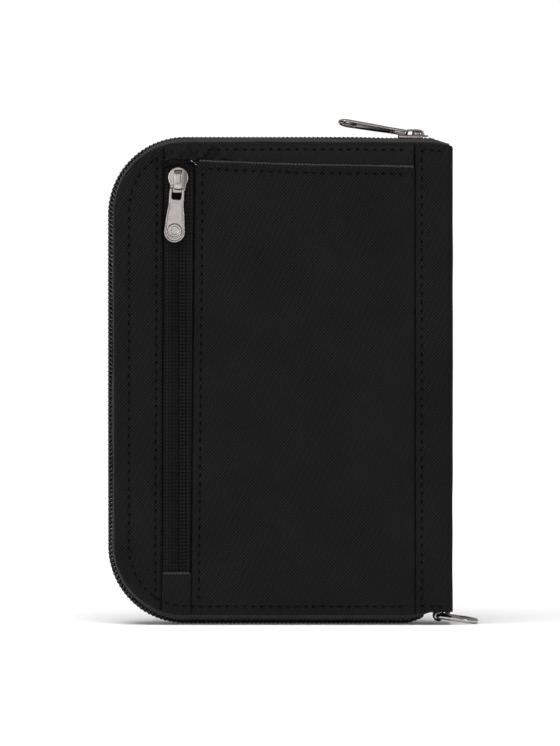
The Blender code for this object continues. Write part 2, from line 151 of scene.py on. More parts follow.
def clothMaterial(name, look):
    """Woven cloth: two thread directions and a diagonal rib, on a map in millimetres."""
    mat, tree, shader = nodeTree(name)
    flat = addNode(tree, "ShaderNodeUVMap", uv_map="cloth").outputs["UV"]
    warp = band(tree, flat, look["thread"], look["angle"])
    weft = band(tree, flat, look["thread"], look["angle"] + 90.0)
    rib = band(tree, flat, look["rib"], look["ribAngle"])
    cross = mathNode(tree, "MULTIPLY", warp, weft)
    weave = mathNode(tree, "ADD", mathNode(tree, "MULTIPLY", cross, 1.0 - look["ribShare"]),
                     mathNode(tree, "MULTIPLY", rib, look["ribShare"]))
    fuzz = scaledNoise(tree, flat, 2.2, 4.0, 0.7)
    cloud = scaledNoise(tree, flat, 0.045, 2.0)
    grain = mathNode(tree, "ADD", mathNode(tree, "MULTIPLY", weave, 0.7), mathNode(tree, "MULTIPLY", fuzz, 0.3))
    mixed = mathNode(tree, "ADD", mathNode(tree, "MULTIPLY", grain, 0.8), mathNode(tree, "MULTIPLY", cloud, 0.2))
    dark = [c * (1.0 - look["contrast"]) for c in look["colour"]]
    pale = [c * (1.0 + look["contrast"]) for c in look["colour"]]
    tree.links.new(ramp(tree, mixed, [(0.2, dark), (0.75, pale)]), shader.inputs["Base Color"])
    rough = mathNode(tree, "ADD", mathNode(tree, "MULTIPLY", fuzz, 0.12), look["roughness"] - 0.06)
    tree.links.new(rough, shader.inputs["Roughness"])
    shader.inputs["Specular IOR Level"].default_value = look["gloss"]
    shader.inputs["Sheen Weight"].default_value = look["sheen"]
    shader.inputs["Sheen Roughness"].default_value = 0.4
    bump = addNode(tree, "ShaderNodeBump")
    bump.inputs["Strength"].default_value = look["bump"]
    bump.inputs["Distance"].default_value = look["depth"] * mm
    tree.links.new(grain, bump.inputs["Height"])
    swell = addNode(tree, "ShaderNodeBump")
    swell.inputs["Strength"].default_value = 0.5
    swell.inputs["Distance"].default_value = 0.25 * mm
    tree.links.new(scaledNoise(tree, flat, 0.11, 3.0), swell.inputs["Height"])
    tree.links.new(swell.outputs["Normal"], bump.inputs["Normal"])
    tree.links.new(bump.outputs["Normal"], shader.inputs["Normal"])
    return mat


def metalMaterial(name, look):
    mat, tree, shader = nodeTree(name)
    spot = addNode(tree, "ShaderNodeTexCoord").outputs["Object"]
    smear = scaledNoise(tree, spot, 420.0, 3.0)
    fine = scaledNoise(tree, spot, 2600.0, 2.0)
    dark = [c * 0.86 for c in look["colour"]]
    tree.links.new(ramp(tree, smear, [(0.35, dark), (0.65, look["colour"])]), shader.inputs["Base Color"])
    shader.inputs["Metallic"].default_value = 1.0
    rough = mathNode(tree, "ADD", mathNode(tree, "MULTIPLY", smear, look["smear"]), look["roughness"])
    tree.links.new(rough, shader.inputs["Roughness"])
    bump = addNode(tree, "ShaderNodeBump")
    bump.inputs["Strength"].default_value = 0.12
    bump.inputs["Distance"].default_value = 0.02 * mm
    tree.links.new(fine, bump.inputs["Height"])
    tree.links.new(bump.outputs["Normal"], shader.inputs["Normal"])
    return mat


def plasticMaterial(name, look):
    mat, tree, shader = nodeTree(name)
    spot = addNode(tree, "ShaderNodeTexCoord").outputs["Object"]
    speck = scaledNoise(tree, spot, look["grain"], 3.0)
    dark = [c * 0.75 for c in look["colour"]]
    pale = [c * 1.3 for c in look["colour"]]
    tree.links.new(ramp(tree, speck, [(0.3, dark), (0.7, pale)]), shader.inputs["Base Color"])
    rough = mathNode(tree, "ADD", mathNode(tree, "MULTIPLY", speck, 0.15), look["roughness"] - 0.07)
    tree.links.new(rough, shader.inputs["Roughness"])
    shader.inputs["Specular IOR Level"].default_value = look["gloss"]
    bump = addNode(tree, "ShaderNodeBump")
    bump.inputs["Strength"].default_value = 0.25
    bump.inputs["Distance"].default_value = 0.05 * mm
    tree.links.new(speck, bump.inputs["Height"])
    tree.links.new(bump.outputs["Normal"], shader.inputs["Normal"])
    return mat


twillLook = {"colour": (0.0086, 0.0083, 0.0083), "thread": 0.86, "angle": 43.0, "rib": 1.9, "ribAngle": 26.0,
             "ribShare": 0.1, "contrast": 0.85, "roughness": 0.78, "gloss": 0.12, "sheen": 0.01,
             "bump": 0.8, "depth": 0.16}
backingLook = dict(twillLook, colour=(0.0056, 0.0054, 0.0054), gloss=0.16, roughness=0.55, sheen=0.015)
# The main zip tape's colour is about three times the cover cloth's: the tape's own tone plus a painted highlight for
# the top light on its up-facing strip.
tapeLook = {"colour": (0.0245, 0.0240, 0.0225), "thread": 0.6, "angle": 0.0, "rib": 1.1, "ribAngle": 25.0,
            "ribShare": 0.5, "contrast": 0.6, "roughness": 0.7, "gloss": 0.2, "sheen": 0.02,
            "bump": 0.7, "depth": 0.16}
liningLook = {"colour": (0.020, 0.020, 0.021), "thread": 0.45, "angle": 0.0, "rib": 2.4, "ribAngle": 45.0,
              "ribShare": 0.1, "contrast": 0.3, "roughness": 0.6, "gloss": 0.4, "sheen": 0.08,
              "bump": 0.4, "depth": 0.06}
webbingLook = {"colour": (0.012, 0.012, 0.013), "thread": 0.7, "angle": 45.0, "rib": 1.4, "ribAngle": 0.0,
               "ribShare": 0.5, "contrast": 0.5, "roughness": 0.75, "gloss": 0.3, "sheen": 0.05,
               "bump": 0.8, "depth": 0.2}

twill = clothMaterial("twillCloth", twillLook)
backing = clothMaterial("backingCloth", backingLook)
zipTape = clothMaterial("zipTape", tapeLook)
pocketTapeCloth = clothMaterial("pocketTapeCloth", dict(tapeLook, colour=(0.0064, 0.0062, 0.006), gloss=0.12,
                                                         thread=1.2, ribShare=0.12, contrast=0.95))
# Twill about five times paler than the cover cloth: painted highlight for the lit top of the folded edges it is laid
# on.
foldHighlightCloth = clothMaterial("foldHighlightCloth", dict(twillLook, colour=(0.040, 0.039, 0.038), gloss=0.3))
lining = clothMaterial("liningCloth", liningLook)
webbing = clothMaterial("webbingTape", webbingLook)
# Near-black copy of the lining for the pouch behind the pocket zip: painted shade for the dark hollow seen through the
# zip's opening.
pouchShadeCloth = clothMaterial("pouchShadeCloth", dict(liningLook, colour=(0.003, 0.003, 0.003), gloss=0.1, sheen=0.0))
coilNylon = plasticMaterial("coilNylon", {"colour": (0.011, 0.0095, 0.008), "grain": 1500.0, "roughness": 0.38,
                                         "gloss": 0.5})
thread = plasticMaterial("sewingThread", {"colour": (0.0016, 0.0016, 0.0016), "grain": 5000.0, "roughness": 0.6,
                                          "gloss": 0.05})
# Pale glossy thread for the bar tack: painted glint standing in for light caught on the thread ends.
glintThread = plasticMaterial("glintThread", {"colour": (0.35, 0.34, 0.33), "grain": 5000.0, "roughness": 0.5,
                                            "gloss": 0.5})
boardFoam = plasticMaterial("coverBoard", {"colour": (0.07, 0.07, 0.07), "grain": 900.0, "roughness": 0.8, "gloss": 0.3})
gunmetal = metalMaterial("gunmetal", {"colour": (0.46, 0.42, 0.40), "roughness": 0.16, "smear": 0.10})
ringMetal = metalMaterial("ringMetal", {"colour": (0.50, 0.48, 0.46), "roughness": 0.11, "smear": 0.10})
print("wallet: materials made")


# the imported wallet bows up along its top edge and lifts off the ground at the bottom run's end

bow = {"cover": 1.35, "coverSeam": 0.25, "coverSpine": 0.8, "chain": 0.3, "heel": 3.3, "shoulder": 1.5}


def bowed(points):
    """Edge shape of the stuffed wallet, for points in millimetres."""
    points = np.array(points, dtype=float)
    x, y, z = points.T
    cover = bow["cover"] - bow["coverSeam"] * smooth(25, 47, x) - bow["coverSpine"] * smooth(52, 60, x)
    chain = bow["chain"] * (1 - smooth(24, 39, x))
    outward = smooth(7.0, 9.5, np.abs(y))
    lift = (chain + (cover - chain) * outward) * smooth(topZ - 34, topZ - 2, z)
    lift -= bow["shoulder"] * smooth(53.0, 60.0, x) * smooth(topZ, topZ + 2.5, z)
    heel = bow["heel"] * smooth(43.5, 55.0, x) * (1 - smooth(1.0, 5.0, z))
    points[:, 2] = z + lift + heel
    return points


def smooth(low, high, value):
    t = np.clip((value - low) / (high - low), 0.0, 1.0)
    return t * t * (3 - 2 * t)


# mesh making; points are in millimetres

bowing = ("sideStrip", "slipPocket", "backingPanel", "frontStitches", "spineCloth", "rearPanel",
          "rearStitches", "zipCoil", "zipTape", "cornerTack")


def finishPiece(name, points, faces, maps, material, body, nodes=()):
    if name.startswith(bowing):
        points = bowed(points)
    mesh = bpy.data.meshes.new(name)
    mesh.from_pydata((np.asarray(points) * mm).tolist(), [], [tuple(f) for f in faces])
    mesh.update()
    layer = mesh.uv_layers.new(name="cloth")
    corners = np.empty(len(mesh.loops), dtype=np.int32)
    mesh.loops.foreach_get("vertex_index", corners)
    layer.data.foreach_set("uv", np.asarray(maps, dtype=np.float32)[corners].ravel())
    mesh.materials.append(material)
    mesh.shade_smooth()
    piece = bpy.data.objects.new(name, mesh)
    bpy.context.scene.collection.objects.link(piece)
    if body:
        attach(piece, body)
    for node in nodes:
        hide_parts(node)
    return piece


def reliefSolid(name, span, step, distance, front, back, place, material, body, nodes=()):
    """Plate cut out by a signed distance, with a height map for its front and one for its back."""
    left, right, low, top = span
    us = np.linspace(left, right, max(3, int(round((right - left) / step)) + 1))
    vs = np.linspace(low, top, max(3, int(round((top - low) / step)) + 1))
    u, v = np.meshgrid(us, vs, indexing="ij")
    d = distance(u, v)
    inside = d < 0.45 * step
    tiny = 0.01
    slopeU = (distance(u + tiny, v) - distance(u - tiny, v)) / (2 * tiny)
    slopeV = (distance(u, v + tiny) - distance(u, v - tiny)) / (2 * tiny)
    edge = inside & (d > -0.55 * step)
    u = u - np.where(edge, d * slopeU, 0.0)
    v = v - np.where(edge, d * slopeV, 0.0)
    d = np.minimum(distance(u, v), 0.0)
    cells = inside[:-1, :-1] & inside[1:, :-1] & inside[1:, 1:] & inside[:-1, 1:]
    used = np.zeros(u.shape, dtype=bool)
    for a, b in ((0, 0), (1, 0), (1, 1), (0, 1)):
        used[a:a + cells.shape[0], b:b + cells.shape[1]] |= cells
    number = -np.ones(u.shape, dtype=np.int64)
    number[used] = np.arange(used.sum())
    count = int(used.sum())
    frontW = front(u, v, d)[used]
    backW = back(u, v, d)[used]
    flatU, flatV = u[used], v[used]
    local = np.vstack([np.column_stack([flatU, flatV, frontW]), np.column_stack([flatU, flatV, backW])])
    n00, n10 = number[:-1, :-1], number[1:, :-1]
    n11, n01 = number[1:, 1:], number[:-1, 1:]
    quads = np.column_stack([n00[cells], n10[cells], n11[cells], n01[cells]])
    faces = [quads, quads[:, ::-1] + count]
    padded = np.pad(cells, 1)
    core = padded[1:-1, 1:-1]
    for missing, first, second in ((padded[1:-1, :-2], n00, n10), (padded[2:, 1:-1], n10, n11),
                                   (padded[1:-1, 2:], n11, n01), (padded[:-2, 1:-1], n01, n00)):
        rim = core & ~missing
        a, b = first[rim], second[rim]
        faces.append(np.column_stack([a, a + count, b + count, b]))
    matrix = np.array(place)
    points = local @ matrix[:3, :3].T + matrix[:3, 3]
    maps = np.vstack([np.column_stack([flatU, flatV])] * 2)
    return finishPiece(name, points, np.vstack(faces).tolist(), maps, material, body, nodes)


def facing(side, y):
    """Frame of a sheet in the cover's plane: u is x, v is z and the height goes outwards along side * y."""
    return Matrix(((1, 0, 0, 0), (0, 0, side, y), (0, 1, 0, 0), (0, 0, 0, 1)))


def sweep(name, centres, firsts, seconds, profile, material, body, nodes=(), closed=False, capped=True):
    """Carry a profile of (a, b) pairs along a line, on two direction vectors at each place."""
    profile = np.asarray(profile, dtype=float)
    rings = (centres[:, None, :] + firsts[:, None, :] * profile[None, :, 0, None]
             + seconds[:, None, :] * profile[None, :, 1, None])
    rows, sides = rings.shape[:2]
    index = np.arange(rows * sides).reshape(rows, sides)
    following = np.roll(index, -1, axis=0) if closed else index[1:]
    current = index if closed else index[:-1]
    faces = np.stack([current, np.roll(current, -1, axis=1), np.roll(following, -1, axis=1), following],
                     axis=-1).reshape(-1, 4).tolist()
    if capped and not closed:
        faces.append(index[0][::-1].tolist())
        faces.append(index[-1].tolist())
    along = np.concatenate([[0.0], np.cumsum(np.linalg.norm(np.diff(centres, axis=0), axis=1))])
    hops = np.linalg.norm(profile - np.roll(profile, 1, axis=0), axis=1)
    hops[0] = 0.0
    around = np.cumsum(hops)
    maps = np.stack(np.meshgrid(along, around, indexing="ij"), axis=-1).reshape(-1, 2)
    return finishPiece(name, rings.reshape(-1, 3), faces, maps, material, body, nodes)


def circle(radius, sides):
    turns = np.linspace(0, 2 * math.pi, sides, endpoint=False)
    return np.column_stack([radius * np.cos(turns), radius * np.sin(turns)])


def unit(vectors):
    return vectors / np.linalg.norm(vectors, axis=-1, keepdims=True)


# distances; negative inside

def boxDistance(u, v, left, right, low, top, radius):
    cu, cv = (left + right) / 2, (low + top) / 2
    qu = np.abs(u - cu) - (right - left) / 2 + radius
    qv = np.abs(v - cv) - (top - low) / 2 + radius
    return np.hypot(np.maximum(qu, 0), np.maximum(qv, 0)) + np.minimum(np.maximum(qu, qv), 0) - radius


def coverDistance(x, z, inset=0.0):
    """Cover outline: large corners at the zip; the spine side runs 60 mm past the spine, so it has no corners there."""
    far = spineX + 60.0
    big = boxDistance(x, z, edgeX + inset, far, bottomZ + inset, topZ - inset, cornerRadius - inset)
    return big


def discDistance(u, v, cu, cv, radius):
    return np.hypot(u - cu, v - cv) - radius


def rollOff(d, radius, depth=None):
    """Height lost towards a folded edge, d being the distance inside it."""
    into = np.clip(radius + d, 0.0, radius)
    drop = radius - np.sqrt(np.maximum(radius ** 2 - into ** 2, 0.0))
    return drop if depth is None else drop * depth / radius


def ripple(u, v, seed, amount, size):
    """Gentle unevenness from a few seeded waves."""
    rng = np.random.default_rng(seed)
    field = np.zeros_like(u)
    for _ in range(7):
        angle, phase = rng.uniform(0, math.pi), rng.uniform(0, 2 * math.pi)
        length = size * rng.uniform(0.6, 1.8)
        field += np.sin((u * math.cos(angle) + v * math.sin(angle)) * 2 * math.pi / length + phase)
    return field * amount / 7


# zip side outline shared by stitches, tapes and chain

def uPath(left, low, top, radius, lowEnd, topEnd, step):
    """Evenly spaced points from the bottom run's end round the free edge to the top run's, with inward normals."""
    pieces = [np.array([[lowEnd, low]])]
    for centreZ, start in ((low + radius, -90.0), (top - radius, 180.0)):
        turns = np.radians(start - np.linspace(0.0, 90.0, 60))
        pieces.append(np.column_stack([left + radius + radius * np.cos(turns), centreZ + radius * np.sin(turns)]))
    pieces.append(np.array([[topEnd, top]]))
    line = np.vstack(pieces)
    lengths = np.concatenate([[0.0], np.cumsum(np.linalg.norm(np.diff(line, axis=0), axis=1))])
    stations = np.linspace(0.0, lengths[-1], int(round(lengths[-1] / step)) + 1)
    points = np.column_stack([np.interp(stations, lengths, line[:, k]) for k in (0, 1)])
    tangents = unit(np.gradient(points, axis=0))
    normals = np.column_stack([tangents[:, 1], -tangents[:, 0]])
    return points, normals, stations


def straightStitches(start, end, pitch):
    count = int(round(math.dist(start, end) / pitch))
    return np.linspace(start, end, count + 1)


def dimples(u, v, holes, radius, depth):
    """Pull-down round each needle hole."""
    field = np.zeros_like(u)
    reach = 3 * radius
    us, vs = u[:, u.shape[1] // 2], v[v.shape[0] // 2]
    for hu, hv in holes:
        i0, i1 = np.searchsorted(us, hu - reach), np.searchsorted(us, hu + reach)
        j0, j1 = np.searchsorted(vs, hv - reach), np.searchsorted(vs, hv + reach)
        if i1 > i0 and j1 > j0:
            su, sv = u[i0:i1, j0:j1], v[i0:i1, j0:j1]
            field[i0:i1, j0:j1] += depth * np.exp(-((su - hu) ** 2 + (sv - hv) ** 2) / radius ** 2)
    return field


stitching = {"pitch": 3.0, "thread": 0.32, "rise": 0.03, "gap": 0.78, "dimple": 0.3, "dimpleRadius": 0.8}


def stitchRun(lines, heightAt, place):
    """Thread between needle holes; lines are rows of (u, v) holes, heightAt gives the cloth there."""
    verts, faces, maps = [], [], []
    sides, rows = 8, 7
    turns = np.linspace(0, 2 * math.pi, sides, endpoint=False)
    matrix = np.array(place)
    for holes in lines:
        for start, end in zip(holes[:-1], holes[1:]):
            start, end = np.asarray(start, float), np.asarray(end, float)
            along = end - start
            length = np.linalg.norm(along)
            if length < 0.5:
                continue
            along = along / length
            across = np.array([-along[1], along[0]])
            base = len(verts) * sides
            for k in range(rows):
                t = k / (rows - 1)
                swell = math.sin(math.pi * (0.08 + 0.84 * t)) ** 0.5
                at = start + along * (stitching["gap"] + t * (length - 2 * stitching["gap"]))
                rise = stitching["rise"] * math.sin(math.pi * t) - 0.14 * (1 - math.sin(math.pi * t))
                rise += heightAt(at[0], at[1])
                radius = stitching["thread"] * swell
                ring = [(at[0] + across[0] * radius * math.cos(a), at[1] + across[1] * radius * math.cos(a),
                         rise + radius * 0.8 * math.sin(a)) for a in turns]
                verts.append(ring)
                maps += [(t * length, a) for a in turns]
            for k in range(rows - 1):
                for j in range(sides):
                    n = (j + 1) % sides
                    faces.append((base + k * sides + j, base + k * sides + n,
                                  base + (k + 1) * sides + n, base + (k + 1) * sides + j))
            faces.append(tuple(base + j for j in reversed(range(sides))))
            faces.append(tuple(base + (rows - 1) * sides + j for j in range(sides)))
    local = np.array(verts).reshape(-1, 3)
    points = local @ matrix[:3, :3].T + matrix[:3, 3]
    return points, faces, maps


def sewStitches(name, lines, heightAt, place, body, material=None):
    points, faces, maps = stitchRun(lines, heightAt, place)
    return finishPiece(name, points, faces, maps, material or thread, body, ())


# front face

front = {
    "windowLeftLow": -41.0, "windowLeftTop": -40.4,      # pocket zip's opening leans a little
    "windowRightLow": -30.6, "windowRightTop": -29.1,
    "slipTopLeft": 159.4, "slipTopRight": 157.6, "slipSag": 0.5,
    "fold": 0.75, "edgeRoll": 1.5, "seamRoll": 0.8, "step": 0.5,
    "edgeStitch": (5.4, 2.6, 3.0), "edgeStitchRadius": 20.0,
}
def leaning(z, low, top):
    return low + (top - low) * (z - bottomZ) / (topZ - bottomZ)


def windowLeft(z):
    return leaning(z, front["windowLeftLow"], front["windowLeftTop"])


def windowRight(z):
    return leaning(z, front["windowRightLow"], front["windowRightTop"])


def slipTop(x):
    t = (x - front["windowRightTop"]) / (seamX - front["windowRightTop"])
    sag = front["slipSag"] * np.sin(math.pi * np.clip(t, 0, 1))
    return front["slipTopLeft"] + (front["slipTopRight"] - front["slipTopLeft"]) * t - sag


def edgeHoles(side):
    """Needle holes of the line round the zip edge of a cover."""
    insetX, insetTop, insetLow = front["edgeStitch"]
    points, _, _ = uPath(edgeX + insetX, bottomZ + insetLow, topZ - insetTop, front["edgeStitchRadius"],
                         spineX - 1.5, spineX - 1.5, stitching["pitch"])
    return points


frontHoles = edgeHoles(-1)
stripHoles = straightStitches((windowLeft(bottomZ + 5) - 2.1, bottomZ + 4.5), (windowLeft(topZ) - 2.1, topZ - 4.5),
                              stitching["pitch"])
slipSideHoles = straightStitches((windowRight(bottomZ) + 2.6, bottomZ + 4.5), (windowRight(topZ) + 2.4, slipTop(-28.0) - 3.0),
                                 stitching["pitch"])
hemHoles = np.array([(x, slipTop(x) - 2.5) for x in np.arange(windowRight(topZ) + 3.5, seamX - 0.8, stitching["pitch"])])
spineHoles = straightStitches((seamX + 2.3, bottomZ + 1.5), (seamX + 2.3, topZ - 1.5), stitching["pitch"])
dimple = (stitching["dimpleRadius"], stitching["dimple"])


def sideStrip():
    holes = np.vstack([frontHoles, stripHoles])

    def distance(x, z):
        return np.maximum(coverDistance(x, z), x - windowLeft(z))

    def height(x, z, d):
        outer = -rollOff(np.minimum(coverDistance(x, z), 0), front["edgeRoll"])
        fold = -rollOff(np.minimum(x - windowLeft(z), 0), front["fold"])
        crown = 0.12 * smooth(0.0, 6.0, -d)
        return outer + fold + crown - dimples(x, z, holes, *dimple) + ripple(x, z, 3, 0.10, 30.0)

    reliefSolid("sideStrip", (edgeX, front["windowLeftTop"] + 0.2, bottomZ, topZ), front["step"], distance, height,
                lambda x, z, d: np.full_like(x, -1.62), facing(-1, -halfThick), twill, "front_cover",
                ["front_side_strip"])
    return height


def slipPocket():
    holes = np.vstack([frontHoles, slipSideHoles, hemHoles])

    def distance(x, z):
        inner = np.maximum(windowRight(z) - x, x - seamX + 0.05)
        return np.maximum(np.maximum(coverDistance(x, z), inner), (z - slipTop(x)) * 0.999)

    def height(x, z, d):
        sides = np.maximum(np.minimum(windowRight(z) - x, 0), np.minimum(x - seamX, 0))
        fold = -rollOff(np.minimum(windowRight(z) - x, 0), front["fold"])
        seam = -rollOff(np.minimum(x - seamX, 0), front["seamRoll"])
        under = -rollOff(np.minimum(coverDistance(x, z), 0), front["edgeRoll"])
        lip = -rollOff(np.minimum(z - slipTop(x), 0), 0.55) + 0.3 * smooth(2.2, 0.6, slipTop(x) - z)
        slack = 0.5 * smooth(0.0, 24.0, -sides) * smooth(bottomZ + 40.0, topZ, z)
        hem = 0.16 * smooth(3.3, 2.9, slipTop(x) - z)
        return fold + seam + under + lip + slack + hem - dimples(x, z, holes, *dimple) + ripple(x, z, 5, 0.16, 42.0)

    reliefSolid("slipPocket", (front["windowRightLow"] - 0.5, seamX, bottomZ, front["slipTopLeft"] + 0.5),
                front["step"], distance, height, lambda x, z, d: np.full_like(x, -0.75), facing(-1, -halfThick),
                twill, "front_cover", ["slip_pocket_panel"])
    # Folded top edge of the pocket, a tube in the paler fold cloth: its colour is a painted highlight along the fold.
    xs = np.linspace(front["windowRightTop"] + 1.2, seamX - 0.4, 90)
    line = np.column_stack([xs, np.full_like(xs, -halfThick + 0.28), slipTop(xs) + 0.05 * np.sin(xs * 0.9)])
    count = len(xs)
    sweep("slipPocketFold", line, np.tile([0.0, 1.0, 0.0], (count, 1)), np.tile([0.0, 0.0, 1.0], (count, 1)),
          circle(0.48, 12), foldHighlightCloth, "front_cover", ())
    return height


def backingPanel():
    """Panel behind the slip pocket; it puckers where it's caught with the pocket zip's top end."""
    holes = frontHoles
    face = halfThick - 0.85

    def brow(x):
        return topZ - 6.8 + 0.7 * np.sin((x - front["windowLeftTop"]) * 0.27) + 0.2 * np.sin(x * 1.3)

    def distance(x, z):
        overZip = np.maximum(windowLeft(z) + 0.35 - x, brow(x) - z)
        return np.maximum(coverDistance(x, z), np.maximum(np.minimum(windowRight(z) - x, overZip), x - seamX + 0.05))

    def pucker(x, z):
        near = np.exp(-((x - front["windowRightTop"] - 2.0) / 17.0) ** 2) * smooth(topZ - 16.0, topZ - 4.0, z)
        waves = 0.62 * np.sin((x * 0.75 - z * 0.95)) + 0.42 * np.sin(x * 1.5 + z * 0.8 + 1.0)
        return near * waves

    def height(x, z, d):
        seam = -rollOff(np.minimum(x - seamX, 0), front["seamRoll"])
        under = -rollOff(np.minimum(coverDistance(x, z), 0), front["edgeRoll"])
        overZip = np.maximum(windowLeft(z) + 0.35 - x, brow(x) - z)
        fold = -rollOff(np.minimum(np.minimum(windowRight(z) - x, overZip), 0), 0.5)
        lift = 0.75 * smooth(topZ - 4.5, topZ - 1.5, z)
        return seam + under + fold + lift + pucker(x, z) - dimples(x, z, holes, *dimple) + ripple(x, z, 8, 0.12, 18.0)

    reliefSolid("backingPanel", (front["windowLeftLow"], seamX, bottomZ, topZ), front["step"], distance,
                height, lambda x, z, d: np.full_like(x, -1.5), facing(-1, -face), backing, "front_cover",
                ["front_backing_panel"])
    return height, face


def endPatch():
    """Cloth over the lower end of the pocket zip."""
    top = bottomZ + 14.6
    face = halfThick - 0.12

    def distance(x, z):
        return np.maximum(np.maximum(coverDistance(x, z), z - top), np.maximum(windowLeft(z) + 0.05 - x, x - windowRight(z) + 0.05))

    def height(x, z, d):
        sides = -rollOff(np.maximum(windowLeft(z) - x, x - windowRight(z)), 0.7)
        lip = -rollOff(np.minimum(z - top, 0), 0.5)
        under = -rollOff(np.minimum(coverDistance(x, z), 0), front["edgeRoll"])
        return sides + lip + under - dimples(x, z, frontHoles, *dimple) + ripple(x, z, 12, 0.08, 9.0)

    reliefSolid("zipEndPatch", (front["windowLeftLow"], front["windowRightTop"], bottomZ, top), 0.3, distance, height,
                lambda x, z, d: np.full_like(x, -0.9), facing(-1, -face), twill, "front_cover",
                ["pocket_zip_end_patch"])
    # Folded top edge of the patch, in the paler fold cloth: its colour is a painted highlight along the fold.
    xs = np.linspace(windowLeft(top) + 0.6, windowRight(top) - 0.6, 24)
    line = np.column_stack([xs, np.full_like(xs, -face + 0.3), np.full_like(xs, top - 0.2)])
    sweep("zipEndPatchFold", line, np.tile([0.0, 1.0, 0.0], (24, 1)), np.tile([0.0, 0.0, 1.0], (24, 1)),
          circle(0.4, 10), foldHighlightCloth, "front_cover", ())


stripHeight = sideStrip()
slipHeight = slipPocket()
backingHeight, backingFace = backingPanel()
endPatch()


def sampled(height, margin=0.3):
    """Cloth height at one point without its needle holes."""
    def at(u, v):
        patch = np.array([[u - margin, u - margin, u - margin], [u, u, u], [u + margin] * 3], dtype=float)
        rise = np.array([[v - margin, v, v + margin]] * 3, dtype=float)
        return float(height(patch, rise, np.full((3, 3), -5.0))[1, 1]) + 0.12
    return at


def frontStitches():
    place = facing(-1, -halfThick)
    stripAt, slipAt = sampled(stripHeight), sampled(slipHeight)
    backingAt = sampled(backingHeight)

    def clothAt(x, z):
        if x < windowLeft(z):
            return stripAt(x, z)
        if x < windowRight(z):
            return -0.15
        if x > seamX:
            return 0.0
        if z > slipTop(x):
            return backingAt(x, z) - (halfThick - backingFace)
        return slipAt(x, z)

    onCover = [h for h in frontHoles if not windowLeft(h[1]) - 0.8 < h[0] < windowRight(h[1]) + 0.8 or h[1] < middleZ]
    onCover = np.array([h for h in onCover if h[0] < seamX - 0.5])
    breaks = np.where(np.linalg.norm(np.diff(onCover, axis=0), axis=1) > 1.5 * stitching["pitch"])[0] + 1
    lines = np.split(onCover, breaks) + [stripHoles, slipSideHoles, hemHoles]
    sewStitches("frontStitches", lines, clothAt, place, "front_cover")
    # Bar tack at the slip pocket's top corner, sewn in the pale thread whose colour is a painted glint.
    corner = np.array([windowRight(topZ) - 0.4, slipTop(front["windowRightTop"]) - 0.6])
    tacks = [[corner + (0.7 * k - 1.2, -0.55 * k), corner + (0.7 * k - 0.6 + 0.3 * (k % 2), -0.55 * k + 1.1)] for k in range(4)]
    sewStitches("cornerTack", tacks, lambda x, z: 0.02, place, "front_cover", material=glintThread)


frontStitches()
print("wallet: front face sewn")


# spine cloth: wraps from the front seam round the spine to the rear seam, in two pieces that bend at the folds

spineCloth = {"cornerRadius": 2.3, "thick": 0.7, "step": 0.75, "topRoll": 1.1}


def spineSection():
    """Line from the seam on the cover, round the corner and to the middle of the spine, as (x, |y|) pairs."""
    r = spineCloth["cornerRadius"]
    flat = np.linspace(seamX + 0.05, spineX - r, 20)
    line = [(x, halfThick) for x in flat]
    for angle in np.radians(np.linspace(90, 0, 12)[1:]):
        line.append((spineX - r + r * math.cos(angle), halfThick - r + r * math.sin(angle)))
    line += [(spineX, y) for y in np.linspace(halfThick - r, 0.0, 14)[1:]]
    return np.array(line)


